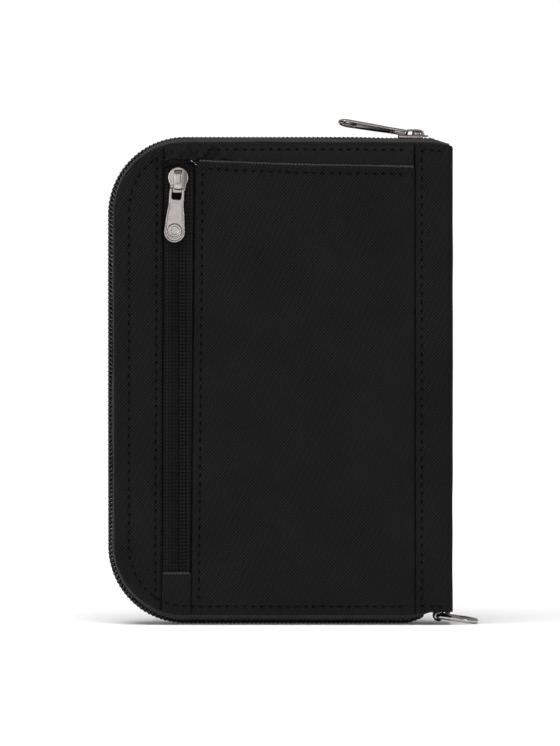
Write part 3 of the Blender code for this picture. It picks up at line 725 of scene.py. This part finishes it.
def spineHalf(name, side, body, nodes):
    line = spineSection()
    tangents = unit(np.gradient(line, axis=0))
    outward = np.column_stack([-tangents[:, 1], tangents[:, 0]])
    outward *= np.sign(outward[:, 1:2] + outward[:, 0:1] + 1e-9)
    run = np.concatenate([[0.0], np.cumsum(np.linalg.norm(np.diff(line, axis=0), axis=1))])
    zs = np.unique(np.concatenate([np.linspace(bottomZ, bottomZ + 2, 9), np.linspace(bottomZ + 2, topZ - 2, 212),
                                   np.linspace(topZ - 2, topZ, 9)]))
    s, z = np.meshgrid(run, zs, indexing="ij")
    ends = np.minimum(z - bottomZ, topZ - z)
    holes = np.column_stack([spineHoles[:, 0] - seamX, spineHoles[:, 1]])
    edgeTop = [(x - seamX, topZ - front["edgeStitch"][1]) for x in np.arange(seamX + 1.2, spineX - 2, 3.0)]
    edgeLow = [(x - seamX, bottomZ + front["edgeStitch"][2]) for x in np.arange(seamX + 1.2, spineX - 2, 3.0)]
    lift = -rollOff(-ends, spineCloth["topRoll"]) - rollOff(-s, front["seamRoll"])
    lift -= dimples(s, z, np.vstack([holes, edgeTop, edgeLow]), *dimple)
    lift += ripple(s, z, 20 + side, 0.12, 26.0) * smooth(0, 3, s) * smooth(run[-1], run[-1] - 3, s)
    outer = line[:, None, :] + outward[:, None, :] * lift[:, :, None]
    inner = line - outward * (spineCloth["thick"] + 0.5)
    rows, columns = s.shape
    top = np.stack([outer[:, :, 0], side * outer[:, :, 1], z], axis=-1).reshape(-1, 3)
    back = np.stack([np.repeat(inner[:, 0:1], columns, 1), side * np.repeat(inner[:, 1:2], columns, 1), z],
                    axis=-1).reshape(-1, 3)
    index = np.arange(rows * columns).reshape(rows, columns)
    quads = np.stack([index[:-1, :-1], index[1:, :-1], index[1:, 1:], index[:-1, 1:]], axis=-1).reshape(-1, 4)
    size = rows * columns
    faces = [quads, quads[:, ::-1] + size]
    for edge in (index[:, 0][::-1], index[:, -1], index[0], index[-1][::-1]):
        faces.append(np.column_stack([edge[:-1], edge[1:], edge[1:] + size, edge[:-1] + size]))
    faces = np.vstack(faces)
    if side > 0:
        faces = faces[:, ::-1]
    maps = np.column_stack([(s + seamX).ravel(), z.ravel()])
    piece = finishPiece(name, np.vstack([top, back]), faces[:, ::-1].tolist(), np.vstack([maps, maps]), twill, None,
                        nodes)
    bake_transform(piece)
    place = facing(side, side * halfThick)
    lines = [spineHoles, np.array(edgeTop) + (seamX, 0), np.array(edgeLow) + (seamX, 0)]
    sewStitches(name + "Stitches", lines, lambda x, z: 0.02, place, body)


spineHalf("spineClothFront", -1, "front_cover", ["front_spine_strip", "spine_wrap"])
spineHalf("spineClothRear", 1, "rear_cover", ["rear_spine_strip"])
print("wallet: spine cloth wrapped")


# rear face

def rearPanel():
    holes = edgeHoles(1)

    def distance(x, z):
        return np.maximum(coverDistance(x, z), x - seamX + 0.05)

    def height(x, z, d):
        under = -rollOff(np.minimum(coverDistance(x, z), 0), front["edgeRoll"])
        seam = -rollOff(np.minimum(x - seamX, 0), front["seamRoll"])
        return under + seam + 0.2 * smooth(0, 30, -d) - dimples(x, z, holes, *dimple) + ripple(x, z, 31, 0.2, 50.0)

    reliefSolid("rearPanel", (edgeX, seamX, bottomZ, topZ), 0.6, distance, height,
                lambda x, z, d: np.full_like(x, -1.5), facing(1, halfThick), twill, "rear_cover", ["rear_panel"])
    onCover = np.array([h for h in holes if h[0] < seamX - 0.5])
    breaks = np.where(np.linalg.norm(np.diff(onCover, axis=0), axis=1) > 1.5 * stitching["pitch"])[0] + 1
    sewStitches("rearStitches", np.split(onCover, breaks), sampled(height), facing(1, halfThick), "rear_cover")


rearPanel()
print("wallet: rear face sewn")


# main zip

mainZip = {"pitch": 1.5, "wire": 0.36, "coilReach": 1.55, "coilMiddle": 1.5, "coilHeight": 0.94, "coilDepth": 1.35,
           "tapeThick": 0.55}
tapeBulge = ((0.2, 2.9), (2.6, 2.75), (3.6, 2.1), (4.6, 1.45), (5.6, 1.05), (6.8, 0.95), (8.0, 1.3), (9.0, 2.05),
             (9.8, 2.9), (10.2, 3.5))             # distance from the middle and depth under the chain's crest


def chainRuns(inset, step, further=0.0):
    ends = boxMm("rear_zip_coil")[1][0]
    return uPath(chainX + inset, inset, chainTop - inset, chainRadius - inset, ends - 3.5 + further,
                 ends + further, step)


def zipCoil(name, side, body, node):
    """Continuous nylon coil; the two halves sit half a pitch apart, so their heads interleave."""
    perTurn = 14
    points, normals, stations = chainRuns(mainZip["coilDepth"], mainZip["pitch"] / perTurn)
    phase = 2 * math.pi * stations / mainZip["pitch"] + (0.0 if side > 0 else math.pi)
    spread = np.sign(np.cos(phase)) * np.abs(np.cos(phase)) ** 0.75
    rise = np.sign(np.sin(phase)) * np.abs(np.sin(phase)) ** 0.75
    y = side * (mainZip["coilMiddle"] - mainZip["coilReach"] * spread)
    centre = points - normals * (rise * mainZip["coilHeight"])[:, None]
    line = np.column_stack([centre[:, 0], y, centre[:, 1]])
    tangents = unit(np.gradient(line, axis=0))
    run = unit(np.gradient(np.column_stack([points[:, 0], np.zeros(len(points)), points[:, 1]]), axis=0))
    first = unit(np.cross(tangents, run))
    second = np.cross(tangents, first)
    sweep(name, line, first, second, circle(mainZip["wire"], 7), coilNylon, body, [node])


def zipTapeBand(name, side, body, node, flangeY):
    """Tape from under the coil, bulging out and turned in behind the cover's edge."""
    outerY = np.linspace(tapeBulge[0][0], tapeBulge[-1][0], 30)
    depth = np.interp(outerY, *zip(*tapeBulge))
    depth[1:-1] = (depth[:-2] + 2 * depth[1:-1] + depth[2:]) / 4
    thick = mainZip["tapeThick"]
    profile = list(zip(depth, outerY))
    profile += [(depth[-1] + 0.5, flangeY), (6.4, flangeY), (6.4, flangeY - thick), (depth[-1] + 0.9, flangeY - thick)]
    profile += [(d + thick, y) for d, y in reversed(list(zip(depth, outerY)))]
    points, normals, stations = chainRuns(0.0, 1.0, 5.2)
    rng = np.random.default_rng(40 + side)
    flutter = 0.10 * np.sin(stations / 7.3 + side) + 0.06 * np.sin(stations / 2.9 + rng.uniform(0, 6))
    flutter = flutter + 1.0 * np.maximum(normals[:, 0], 0) + 0.7 * np.maximum(normals[:, 1], 0)
    centres = np.column_stack([points[:, 0], np.zeros(len(points)), points[:, 1]])
    centres += np.column_stack([normals[:, 0], np.zeros(len(points)), normals[:, 1]]) * flutter[:, None]
    firsts = np.column_stack([normals[:, 0], np.zeros(len(points)), normals[:, 1]])
    seconds = np.tile([0.0, float(side), 0.0], (len(points), 1))
    sweep(name, centres, firsts, seconds, profile, zipTape, body, [node])


zipCoil("zipCoilRear", 1, "rear_cover", "rear_zip_coil")
zipCoil("zipCoilFront", -1, "front_cover", "front_zip_coil")
zipTapeBand("zipTapeRear", 1, "rear_cover", "rear_zip_tape", halfThick - 1.0)
zipTapeBand("zipTapeFront", -1, "front_cover", "front_zip_tape", halfThick - 1.9)
print("wallet: main zip made")


# pocket zip: worn with the back of its tape outwards, so only ribs show over the coil

pocketZip = {"pitch": 1.2, "halfSlot": 0.05, "ribReach": 2.7, "rib": 0.45, "face": 1.0, "step": 0.2, "wire": 0.28}


def zipCentre(z):
    return -35.15 + 0.0 * z


def pocketTape(name, side, node):
    face = halfThick - pocketZip["face"]
    low, top = bottomZ + 9.0, topZ - 8.0

    def distance(x, z):
        inner = side * (zipCentre(z) - x) + pocketZip["halfSlot"]
        outer = side * (x - (windowLeft(z) if side < 0 else windowRight(z))) + 0.4
        return np.maximum(np.maximum(inner, outer), np.maximum(low - z, z - top))

    def height(x, z, d):
        away = side * (x - zipCentre(z))
        ribs = 0.5 + 0.5 * np.cos(2 * math.pi * (z / pocketZip["pitch"] + (0.5 if side > 0 else 0.0)))
        over = smooth(pocketZip["ribReach"] + 0.3, pocketZip["ribReach"] - 0.4, away)
        shoulder = 0.28 * over
        hollow = 0.6 * smooth(topZ - 9.5, topZ - 7.5, z)
        return shoulder + pocketZip["rib"] * over * ribs - rollOff(np.minimum(d, 0), 0.3) - hollow

    middle = float(zipCentre(low))
    span = (front["windowLeftLow"], middle, low, top) if side < 0 else (middle, front["windowRightTop"], low, top)
    reliefSolid(name, span, pocketZip["step"], distance, height, lambda x, z, d: -0.35 - 0.6 * smooth(topZ - 9.5, topZ - 7.5, z),
                facing(-1, -face), pocketTapeCloth, "front_cover", [node])


def pocketCoil(name, side, node):
    perTurn = 10
    coil = boxMm(node)
    zs = np.arange(coil[0][2], coil[1][2], pocketZip["pitch"] / perTurn)
    phase = 2 * math.pi * zs / pocketZip["pitch"] + (math.pi if side > 0 else 0.0)
    x = zipCentre(zs) + side * (0.95 - 1.1 * np.cos(phase))
    y = -(halfThick - 2.0) + 0.5 * np.sin(phase)
    line = np.column_stack([x, y, zs])
    tangents = unit(np.gradient(line, axis=0))
    first = unit(np.cross(tangents, np.tile([0.0, 0.0, 1.0], (len(zs), 1))))
    sweep(name, line, first, np.cross(tangents, first), circle(pocketZip["wire"], 6), coilNylon, "front_cover",
          [node])


for label, side in (("Left", -1), ("Right", 1)):
    pocketTape("pocketTape" + label, side, "pocket_zip_tape_" + label.lower())
    pocketCoil("pocketCoil" + label, side, "pocket_zip_coil_" + label.lower())
print("wallet: pocket zip made")


# sliders and pullers, in their own axes: u to the closed end, v across, w out from the chain

mainHardware = {
    "length": 10.6, "nose": 8.6, "tail": 6.6, "plate": 0.75, "lip": 1.25, "lipWidth": 0.75, "edge": 0.3,
    "bridge": 7.9, "bridgeWidth": 2.4, "bridgeRise": 1.95, "bridgeThick": 0.8,
}
pocketHardware = dict(mainHardware, length=9.0, nose=7.3, tail=4.6, bridge=7.2, bridgeWidth=2.9, bridgeRise=2.35, bridgeThick=0.85,
                      lip=0.45)
pullerShape = {"neck": 5.2, "end": 7.3, "plate": 1.0, "eyeFrom": 0.40, "eyeTo": 4.7, "eyeHalf": 1.65, "rim": 0.62,
               "recess": 0.34, "bevel": 0.28, "boss": 2.55, "bossRise": 0.26, "groove": 0.24}


def hardwareFrame(origin, along, outward):
    along, outward = Vector(along).normalized(), Vector(outward).normalized()
    across = outward.cross(along)
    matrix = Matrix.Identity(4)
    for i in range(3):
        matrix[i][0], matrix[i][1], matrix[i][2], matrix[i][3] = along[i], across[i], outward[i], origin[i]
    return matrix


def taperDistance(u, v, low, high, lowHalf, highHalf, radius):
    """Plate that widens evenly from lowHalf to highHalf, with rounded corners."""
    half = lowHalf + (highHalf - lowHalf) * np.clip((u - low) / (high - low), 0, 1)
    qu = np.abs(u - (low + high) / 2) - (high - low) / 2 + radius
    qv = np.abs(v) - half + radius
    return np.hypot(np.maximum(qu, 0), np.maximum(qv, 0)) + np.minimum(np.maximum(qu, qv), 0) - radius


def slider(name, look, room, place, body, node):
    half = look["length"] / 2
    span = (-half, half, -look["nose"] / 2, look["nose"] / 2)

    def distance(u, v):
        wide = look["nose"] / 2
        return np.minimum(discDistance(u, v, half - wide, 0.0, wide),
                          taperDistance(u, v, -half, half - wide * 0.8, look["tail"] / 2, wide, 0.9))

    def outer(u, v, d):
        dome = 0.55 * (np.abs(v) / (look["nose"] / 2)) ** 2 + 0.2 * smooth(half - 3.0, half, u)
        return look["plate"] - rollOff(d, look["edge"]) - dome

    def inner(u, v, d):
        flank = half * 0 + np.abs(v) - (look["tail"] / 2 + (look["nose"] - look["tail"]) / 2
                                        * (u + half) / look["length"]) + look["lipWidth"]
        lip = smooth(-0.12, 0.12, flank) * smooth(half - 1.6, half - 2.4, u)
        return -look["lip"] * lip

    lower = place @ Matrix.Translation((0, 0, -room)) @ Matrix.Rotation(math.pi, 4, "X")
    reliefSolid(name, span, 0.16, distance, outer, inner, place, gunmetal, body, [node])
    reliefSolid(name + "Lower", span, 0.2, distance, outer, inner, lower, gunmetal, body, ())
    post = np.array([(half * 0.35, 0.0, -room), (half * 0.35, 0.0, 0.0)])
    matrix = np.array(place)
    centres = post @ matrix[:3, :3].T + matrix[:3, 3]
    firsts, seconds = np.tile(matrix[:3, 0], (2, 1)), np.tile(matrix[:3, 1], (2, 1))
    web = [(1.5 * math.cos(a), 0.3 * math.sin(a)) for a in np.linspace(0, 2 * math.pi, 16, endpoint=False)]
    sweep(name + "Web", centres, firsts, seconds, web, gunmetal, body, ())
    crown(name + "Crown", look, place, body)


def crown(name, look, place, body):
    """Bridge over the slider that the puller's eye runs under."""
    turns = np.linspace(-math.pi / 2, math.pi / 2, 33)
    reach, rise = look["bridge"] / 2 - look["bridgeThick"] / 2, look["bridgeRise"] - look["bridgeThick"] / 2
    u = reach * np.sign(np.sin(turns)) * np.abs(np.sin(turns)) ** 0.62
    w = 0.2 + (look["plate"] - 0.25 + rise) * np.abs(np.cos(turns)) ** 0.5
    w = np.minimum(w, look["plate"] + rise)
    line = np.column_stack([u, np.zeros_like(u), w])
    tangents = unit(np.gradient(line, axis=0))
    across = np.tile([0.0, 1.0, 0.0], (len(u), 1))
    outward = unit(np.cross(tangents, across))
    matrix = np.array(place)
    rotate = matrix[:3, :3].T
    turn = np.linspace(0, 2 * math.pi, 20, endpoint=False)
    squareness = 0.8
    profile = [(look["bridgeWidth"] / 2 * np.sign(math.cos(a)) * abs(math.cos(a)) ** squareness,
                look["bridgeThick"] / 2 * np.sign(math.sin(a)) * abs(math.sin(a)) ** squareness) for a in turn]
    sweep(name, line @ rotate + matrix[:3, 3], across @ rotate, outward @ rotate, profile, gunmetal, body, ())


def puller(name, reach, place, body, node):
    """Tapered pull with an eye, a sunk face and a plain round boss; u runs from the pivot to the tip."""
    look = pullerShape
    endHalf = look["end"] / 2
    bar = 0.36
    centre = reach - endHalf

    def outline(u, v):
        body_ = taperDistance(u, v, -bar, centre + 0.5, look["neck"] / 2 * 0.94, endHalf, 1.1)
        waist = 0.25 * np.exp(-((u - look["eyeTo"] - 2.0) / 2.4) ** 2)
        return np.minimum(body_ + waist, discDistance(u, v, centre, 0.0, endHalf))

    def distance(u, v):
        eye = boxDistance(u, v, look["eyeFrom"], look["eyeTo"], -look["eyeHalf"], look["eyeHalf"], 0.8)
        return np.maximum(outline(u, v), -eye)

    def face(u, v, d):
        w = (look["plate"] / 2 - rollOff(d, look["bevel"])) * (1 - 0.45 * smooth(1.4, 0.5, u))
        sunkStart = look["eyeTo"] + 0.95
        arch = np.maximum(outline(u, v) + look["rim"], sunkStart + 0.10 * v ** 2 - u)
        w = w - look["recess"] * smooth(0.12, -0.18, arch)
        w = w - 0.14 * np.exp(-((arch + 0.05) / 0.13) ** 2)
        ring = discDistance(u, v, centre - 0.3, 0.0, look["boss"])
        w = w + (look["recess"] + look["bossRise"]) * smooth(0.10, -0.25, ring)
        w = w - look["groove"] * np.exp(-((ring + 0.75) / 0.16) ** 2)
        w = w - 0.16 * smooth(0.10, -0.35, ring + 1.1)
        return w

    reliefSolid(name, (-bar, reach, -endHalf, endHalf), 0.14, distance, face, lambda u, v, d: -face(u, v, d), place,
                gunmetal, body, [node])


def joint(name):
    found = [j for j in frame["joints"] if j["name"] == name] if isinstance(frame["joints"], list) else [frame["joints"][name]]
    return found[0]


def pivotMm(name):
    return Vector([float(v) / mm for v in joint(name)["pos_m"]])


def mainZipHardware():
    low, high = boxMm("main_zip_slider")
    centreX = (low[0] + high[0]) / 2
    up, right = Vector((0, 0, 1)), Vector((1, 0, 0))
    place = hardwareFrame((centreX, 0.0, chainTop + 0.25), right, up)
    slider("mainSlider", mainHardware, 3.9, place, "main_slider", "main_zip_slider")
    matrix = np.array(place)
    ends = np.array([(0.0, -0.8, 0.0), (0.0, 0.8, 0.0)]) @ matrix[:3, :3].T + matrix[:3, 3]
    shape = [(-0.5, 0.3), (3.6, 0.3), (3.6, 1.4), (2.8, 2.0), (-0.2, 2.15)]      # catch housing under the bridge
    sweep("mainSliderCatch", ends, np.tile(matrix[:3, 0], (2, 1)), np.tile(matrix[:3, 2], (2, 1)), shape, gunmetal,
          "main_slider", ())
    lean, roll = math.radians(9.3), math.radians(13.0)
    pivot = pivotMm("main_puller_swing")
    pivot.z -= 0.15
    along = Vector((-math.cos(lean), 0.0, math.sin(lean)))
    outward = Vector((math.sin(lean), 0.0, math.cos(lean))) * math.cos(roll) + Vector((0, math.sin(roll), 0))
    puller("mainPuller", 24.3, hardwareFrame(pivot, along, outward), "main_puller", "main_zip_puller")


def pocketZipHardware():
    low, high = boxMm("pocket_zip_slider")
    z = (low[2] + high[2]) / 2
    up, out = Vector((0, 0, 1)), Vector((0, -1, 0))
    tilt = Matrix.Rotation(math.radians(0.5), 3, "Y")
    place = hardwareFrame((zipCentre(z), -(halfThick - 0.45), z + 0.4), tilt @ up, out)
    slider("pocketSlider", pocketHardware, 2.7, place, "pocket_slider", "pocket_zip_slider")
    pivot = pivotMm("pocket_puller_swing")
    pivot.x = zipCentre(pivot.z) - 0.3
    pivot.z += 0.1
    lean = Matrix.Rotation(math.radians(3.4), 3, "Y")
    puller("pocketPuller", 19.6, hardwareFrame(pivot, lean @ -up, out), "pocket_puller", "pocket_zip_puller")


mainZipHardware()
pocketZipHardware()
print("wallet: sliders and pullers made")


# lanyard ring and its webbing tab

ringLook = {"wire": 0.9, "halfWidth": 6.4, "arm": 6.9, "bend": 1.5}


def lanyardRing():
    pivot = pivotMm("ring_swing")
    drop = math.asin((pivot.z - ringLook["wire"]) / (ringLook["arm"] + ringLook["halfWidth"]))
    half, bend = ringLook["halfWidth"], ringLook["bend"]
    line = [(0.0, v) for v in np.linspace(-half + bend, half - bend, 12)[:-1]]
    line += [(bend - bend * math.cos(a), half - bend + bend * math.sin(a)) for a in np.linspace(0, math.pi / 2, 8)]
    line += [(ringLook["arm"] + half * math.cos(a), half * math.sin(a)) for a in np.linspace(math.pi / 2, -math.pi / 2, 40)]
    line += [(bend - bend * math.cos(a), -half + bend - bend * math.sin(a)) for a in np.linspace(math.pi / 2, 0, 8)]
    line = np.array(line[:-1])
    tangents = unit(np.roll(line, -1, axis=0) - np.roll(line, 1, axis=0))
    turn = np.array(Matrix.Rotation(drop, 3, "Y"))
    centres = np.column_stack([line[:, 0], line[:, 1], np.zeros(len(line))]) @ turn.T + np.array(pivot)
    sideways = np.column_stack([tangents[:, 1], -tangents[:, 0], np.zeros(len(line))]) @ turn.T
    upward = np.tile(turn[:, 2], (len(line), 1))
    sweep("lanyardRing", centres, sideways, upward, circle(ringLook["wire"], 18), ringMetal, "lanyard_ring", ["d_ring"],
          closed=True)


def ringTab():
    """Webbing folded round the ring's bar and sewn up inside the spine."""
    pivot = pivotMm("ring_swing")
    low, high = boxMm("d_ring_tab")
    radius, thick, half = ringLook["wire"] + 0.62, 0.62, 3.9
    turns = np.radians(np.linspace(0, -290, 50))
    legX = pivot.x + radius
    line = [(legX, z) for z in np.linspace(high[2], pivot.z + 0.4, 14)]
    line += [(pivot.x + radius * math.cos(a), pivot.z + radius * math.sin(a)) for a in turns]
    line = np.array(line)
    tangents = unit(np.gradient(line, axis=0))
    centres = np.column_stack([line[:, 0], np.zeros(len(line)), line[:, 1]])
    normals = np.column_stack([-tangents[:, 1], np.zeros(len(line)), tangents[:, 0]])
    across = np.tile([0.0, 1.0, 0.0], (len(line), 1))
    turn = np.linspace(0, 2 * math.pi, 28, endpoint=False)
    profile = [(half * np.sign(math.cos(a)) * abs(math.cos(a)) ** 0.2,
                thick / 2 * np.sign(math.sin(a)) * abs(math.sin(a)) ** 0.5) for a in turn]
    sweep("ringTab", centres, across, normals, profile, webbing, "spine", ["d_ring_tab"])


lanyardRing()
ringTab()
print("wallet: ring and tab made")


# inside

inside = {"step": 1.0, "edge": 0.35, "hem": 0.22}


def liningSheet(name, node, side, radius, body, lines=(), hem=False, seed=50):
    """Lining cloth over a CAD sheet, with soft edges; side is the way its visible face looks."""
    low, high = boxMm(node)
    faceY = high[1] if side > 0 else low[1]
    thick = high[1] - low[1]
    holes = np.vstack(lines) if len(lines) else np.zeros((0, 2))

    def distance(x, z):
        far = high[0] + 60.0 if radius > 5 else high[0]
        shape = boxDistance(x, z, low[0], far, low[2], high[2], max(radius, 0.4))
        return np.maximum(shape, x - high[0])

    def height(x, z, d):
        top = inside["hem"] * smooth(high[2] - 7.2, high[2] - 6.8, z) if hem else 0.0
        swell = ripple(x, z, seed, 0.10, 34.0) * smooth(0, 5, -d)
        return -rollOff(d, min(inside["edge"], thick * 0.8)) + top + swell - dimples(x, z, holes, 0.8, 0.12)

    reliefSolid(name, (low[0], high[0], low[2], high[2]), inside["step"], distance, height,
                lambda x, z, d: np.full_like(x, -thick), facing(side, faceY), lining, body, [node])
    if len(lines):
        sewStitches(name + "Stitches", lines, lambda x, z: (inside["hem"] if hem else 0.0) + 0.02,
                    facing(side, faceY), body)


def insideRows(node, inset):
    low, high = boxMm(node)
    pitch = stitching["pitch"]
    sides = [straightStitches((x, low[2] + 2), (x, high[2] - 2), pitch) for x in (low[0] + inset, high[0] - inset)]
    bottom = straightStitches((low[0] + inset + 1, low[2] + inset), (high[0] - inset - 1, low[2] + inset), pitch)
    hemLine = straightStitches((low[0] + 3, high[2] - 6), (high[0] - 3, high[2] - 6), pitch)
    return sides, bottom, hemLine


liningRadius = chainRadius - (boxMm("front_lining")[0][2])
liningSheet("frontLining", "front_lining", 1, liningRadius, "front_cover", seed=51)
liningSheet("rearLining", "rear_lining", -1, liningRadius, "rear_cover", seed=52)
for count, node in enumerate(("card_slot_upper", "card_slot_middle", "card_slot_lower")):
    sides, bottom, hemLine = insideRows(node, 1.6)
    rows = [hemLine] + (sides + [bottom] if node == "card_slot_lower" else [])
    liningSheet("cardSlot" + node.split("_")[-1].capitalize(), node, 1, 0.6, "front_cover", lines=rows, hem=True,
                seed=60 + count)


def spineLining():
    low, high = boxMm("spine_lining")
    place = Matrix(((0, 0, -1, low[0]), (1, 0, 0, 0), (0, 1, 0, 0), (0, 0, 0, 1)))
    thick = high[0] - low[0]
    reliefSolid("spineLining", (low[1], high[1], low[2], high[2]), inside["step"],
                lambda u, v: boxDistance(u, v, low[1], high[1], low[2], high[2], 0.6),
                lambda u, v, d: -rollOff(d, 0.35) + ripple(u, v, 71, 0.08, 20.0),
                lambda u, v, d: np.full_like(u, -thick), place, lining, "spine", ["spine_lining"])


def pouch():
    """Slack lining bag behind the pocket zip, in near-black cloth that paints the shade of the hollow behind the zip.
    """
    low, high = boxMm("pocket_pouch")

    def distance(x, z):
        shape = boxDistance(x, z, low[0], high[0] + 60.0, low[2], high[2], chainRadius - low[2])
        return np.maximum(shape, x - high[0])

    def back(x, z, d):
        return np.full_like(x, -0.4)

    def bag(x, z, d):
        swell = (high[1] - low[1] - 0.6) * smooth(0, 3.0, -d)
        return swell + ripple(x, z, 75, 0.1, 25.0) * smooth(0, 6, -d)

    reliefSolid("pocketPouch", (low[0], high[0], low[2], high[2]), 1.2, distance, bag, back, facing(1, low[1] + 0.4),
                pouchShadeCloth, "front_cover", ["pocket_pouch"])


def passportPocket():
    """Open-topped pocket: its panel turns back at both sides and the bottom to meet the lining."""
    low, high = boxMm("passport_pocket")
    depth = high[1] - low[1]
    sides, bottom, hemLine = insideRows("passport_pocket", 1.8)
    holes = np.vstack([hemLine])

    def distance(x, z):
        return boxDistance(x, z, low[0], high[0], low[2], high[2], 0.6)

    def wall(x, z):
        away = np.minimum(np.minimum(x - low[0], high[0] - x), z - low[2])
        return away

    def outer(x, z, d):
        turned = rollOff(-wall(x, z), 1.6, depth - 0.6)
        hem = inside["hem"] * smooth(high[2] - 7.2, high[2] - 6.8, z)
        return -turned + hem - rollOff(z - high[2], 0.3) - dimples(x, z, holes, 0.8, 0.12) + ripple(x, z, 81, 0.12, 36.0)

    def inner(x, z, d):
        return -0.6 - rollOff(-(wall(x, z) - 0.7), 1.5, depth - 1.0)

    reliefSolid("passportPocket", (low[0], high[0], low[2], high[2]), 0.8, distance, outer, inner, facing(-1, low[1]),
                lining, "rear_cover", ["passport_pocket"])
    sewStitches("passportPocketStitches", [hemLine], lambda x, z: inside["hem"] + 0.02, facing(-1, low[1]),
                "rear_cover")


spineLining()
pouch()
passportPocket()
for node in ("rear_board", "front_board", "spine_board"):
    board = frame["nodes"][node]
    board = board if hasattr(board, "material_slots") else bpy.data.objects[node]
    for holder in board.material_slots:
        holder.material = boardFoam
print("wallet: inside made")


# stage, light and camera

studio = {"distance": 1500.0, "pixelsPerMm": 2.89, "centreX": 0.1, "centreZ": 87.3, "floorGlow": 1.0,
          "ambient": 0.18}


def stageMaterial(name, colour, glow):
    """Pale surface that looks white to the eye and to metal, and still takes a shadow."""
    mat, tree, shader = nodeTree(name)
    shader.inputs["Base Color"].default_value = (*colour, 1.0)
    shader.inputs["Roughness"].default_value = 0.9
    shader.inputs["Specular IOR Level"].default_value = 0.1
    seen = addNode(tree, "ShaderNodeLightPath")
    spot = addNode(tree, "ShaderNodeTexCoord").outputs["Object"]
    away = addNode(tree, "ShaderNodeVectorMath", operation="LENGTH")
    tree.links.new(spot, away.inputs[0])
    reach = addNode(tree, "ShaderNodeMapRange", interpolation_type="SMOOTHSTEP")
    reach.inputs["From Min"].default_value = 0.12
    reach.inputs["From Max"].default_value = 0.45
    reach.inputs["To Min"].default_value = 0.05
    tree.links.new(away.outputs["Value"], reach.inputs["Value"])
    strength = mathNode(tree, "MULTIPLY", mathNode(tree, "MULTIPLY", seen.outputs["Is Camera Ray"], glow),
                        reach.outputs["Result"])
    shader.inputs["Emission Color"].default_value = (1.0, 1.0, 1.0, 1.0)
    tree.links.new(strength, shader.inputs["Emission Strength"])
    return mat


def buildStage():
    size = 6000.0
    points = np.array([(-size, -size, 0.0), (size, -size, 0.0), (size, size, 0.0), (-size, size, 0.0)])
    floor = finishPiece("floor", points, [(0, 1, 2, 3)], points[:, :2], stageMaterial("paleFloor", (0.8, 0.8, 0.8),
                        studio["floorGlow"]), None)
    world = bpy.data.worlds.new("studioWorld")
    bpy.context.scene.world = world
    world.use_nodes = True
    tree = world.node_tree
    background = tree.nodes["Background"]
    seen = addNode(tree, "ShaderNodeLightPath")
    eye = mathNode(tree, "ADD", seen.outputs["Is Camera Ray"], seen.outputs["Is Transmission Ray"])
    extra = mathNode(tree, "ADD", mathNode(tree, "MULTIPLY", mathNode(tree, "MINIMUM", eye, 1.0),
                                           1.05 - studio["ambient"]),
                     mathNode(tree, "MULTIPLY", seen.outputs["Is Glossy Ray"], 0.12))
    strength = mathNode(tree, "ADD", extra, studio["ambient"])
    background.inputs["Color"].default_value = (1.0, 1.0, 1.0, 1.0)
    tree.links.new(strength, background.inputs["Strength"])


def softLamp(name, place, target, size, power, mirrored=True):
    data = bpy.data.lights.new(name, "AREA")
    data.shape = "RECTANGLE"
    data.size, data.size_y = size[0] * mm, size[1] * mm
    data.energy = power
    lamp = bpy.data.objects.new(name, data)
    bpy.context.scene.collection.objects.link(lamp)
    lamp.visible_glossy = mirrored
    lamp.location = Vector(place) * mm
    lamp.rotation_euler = (Vector(target) - Vector(place)).to_track_quat("-Z", "Y").to_euler()


def buildCamera():
    data = bpy.data.cameras.new("camera")
    camera = bpy.data.objects.new("camera", data)
    bpy.context.scene.collection.objects.link(camera)
    width = 560 / studio["pixelsPerMm"]
    data.sensor_width = 36.0
    data.lens = 36.0 * studio["distance"] / width
    data.sensor_fit = "HORIZONTAL"
    data.clip_end = 50.0
    camera.location = Vector((studio["centreX"], -studio["distance"] - halfThick, studio["centreZ"])) * mm
    camera.rotation_euler = (math.pi / 2, 0.0, 0.0)
    bpy.context.scene.camera = camera


buildStage()
softLamp("topLamp", (-100, -250, 900), (0, 0, 90), (900, 600), 13.0, False)
softLamp("frontLamp", (-250, -2000, 500), (0, 0, 90), (1500, 1000), 4.2)
softLamp("leftLamp", (-900, -1000, 350), (0, 0, 90), (350, 900), 3.2)
softLamp("rightLamp", (950, -850, 350), (0, 0, 90), (300, 900), 2.2)
softLamp("backLamp", (300, 1500, 700), (0, 0, 90), (900, 900), 5.0, False)
buildCamera()
bpy.context.scene.view_settings.view_transform = "Standard"
print("wallet: stage lit")
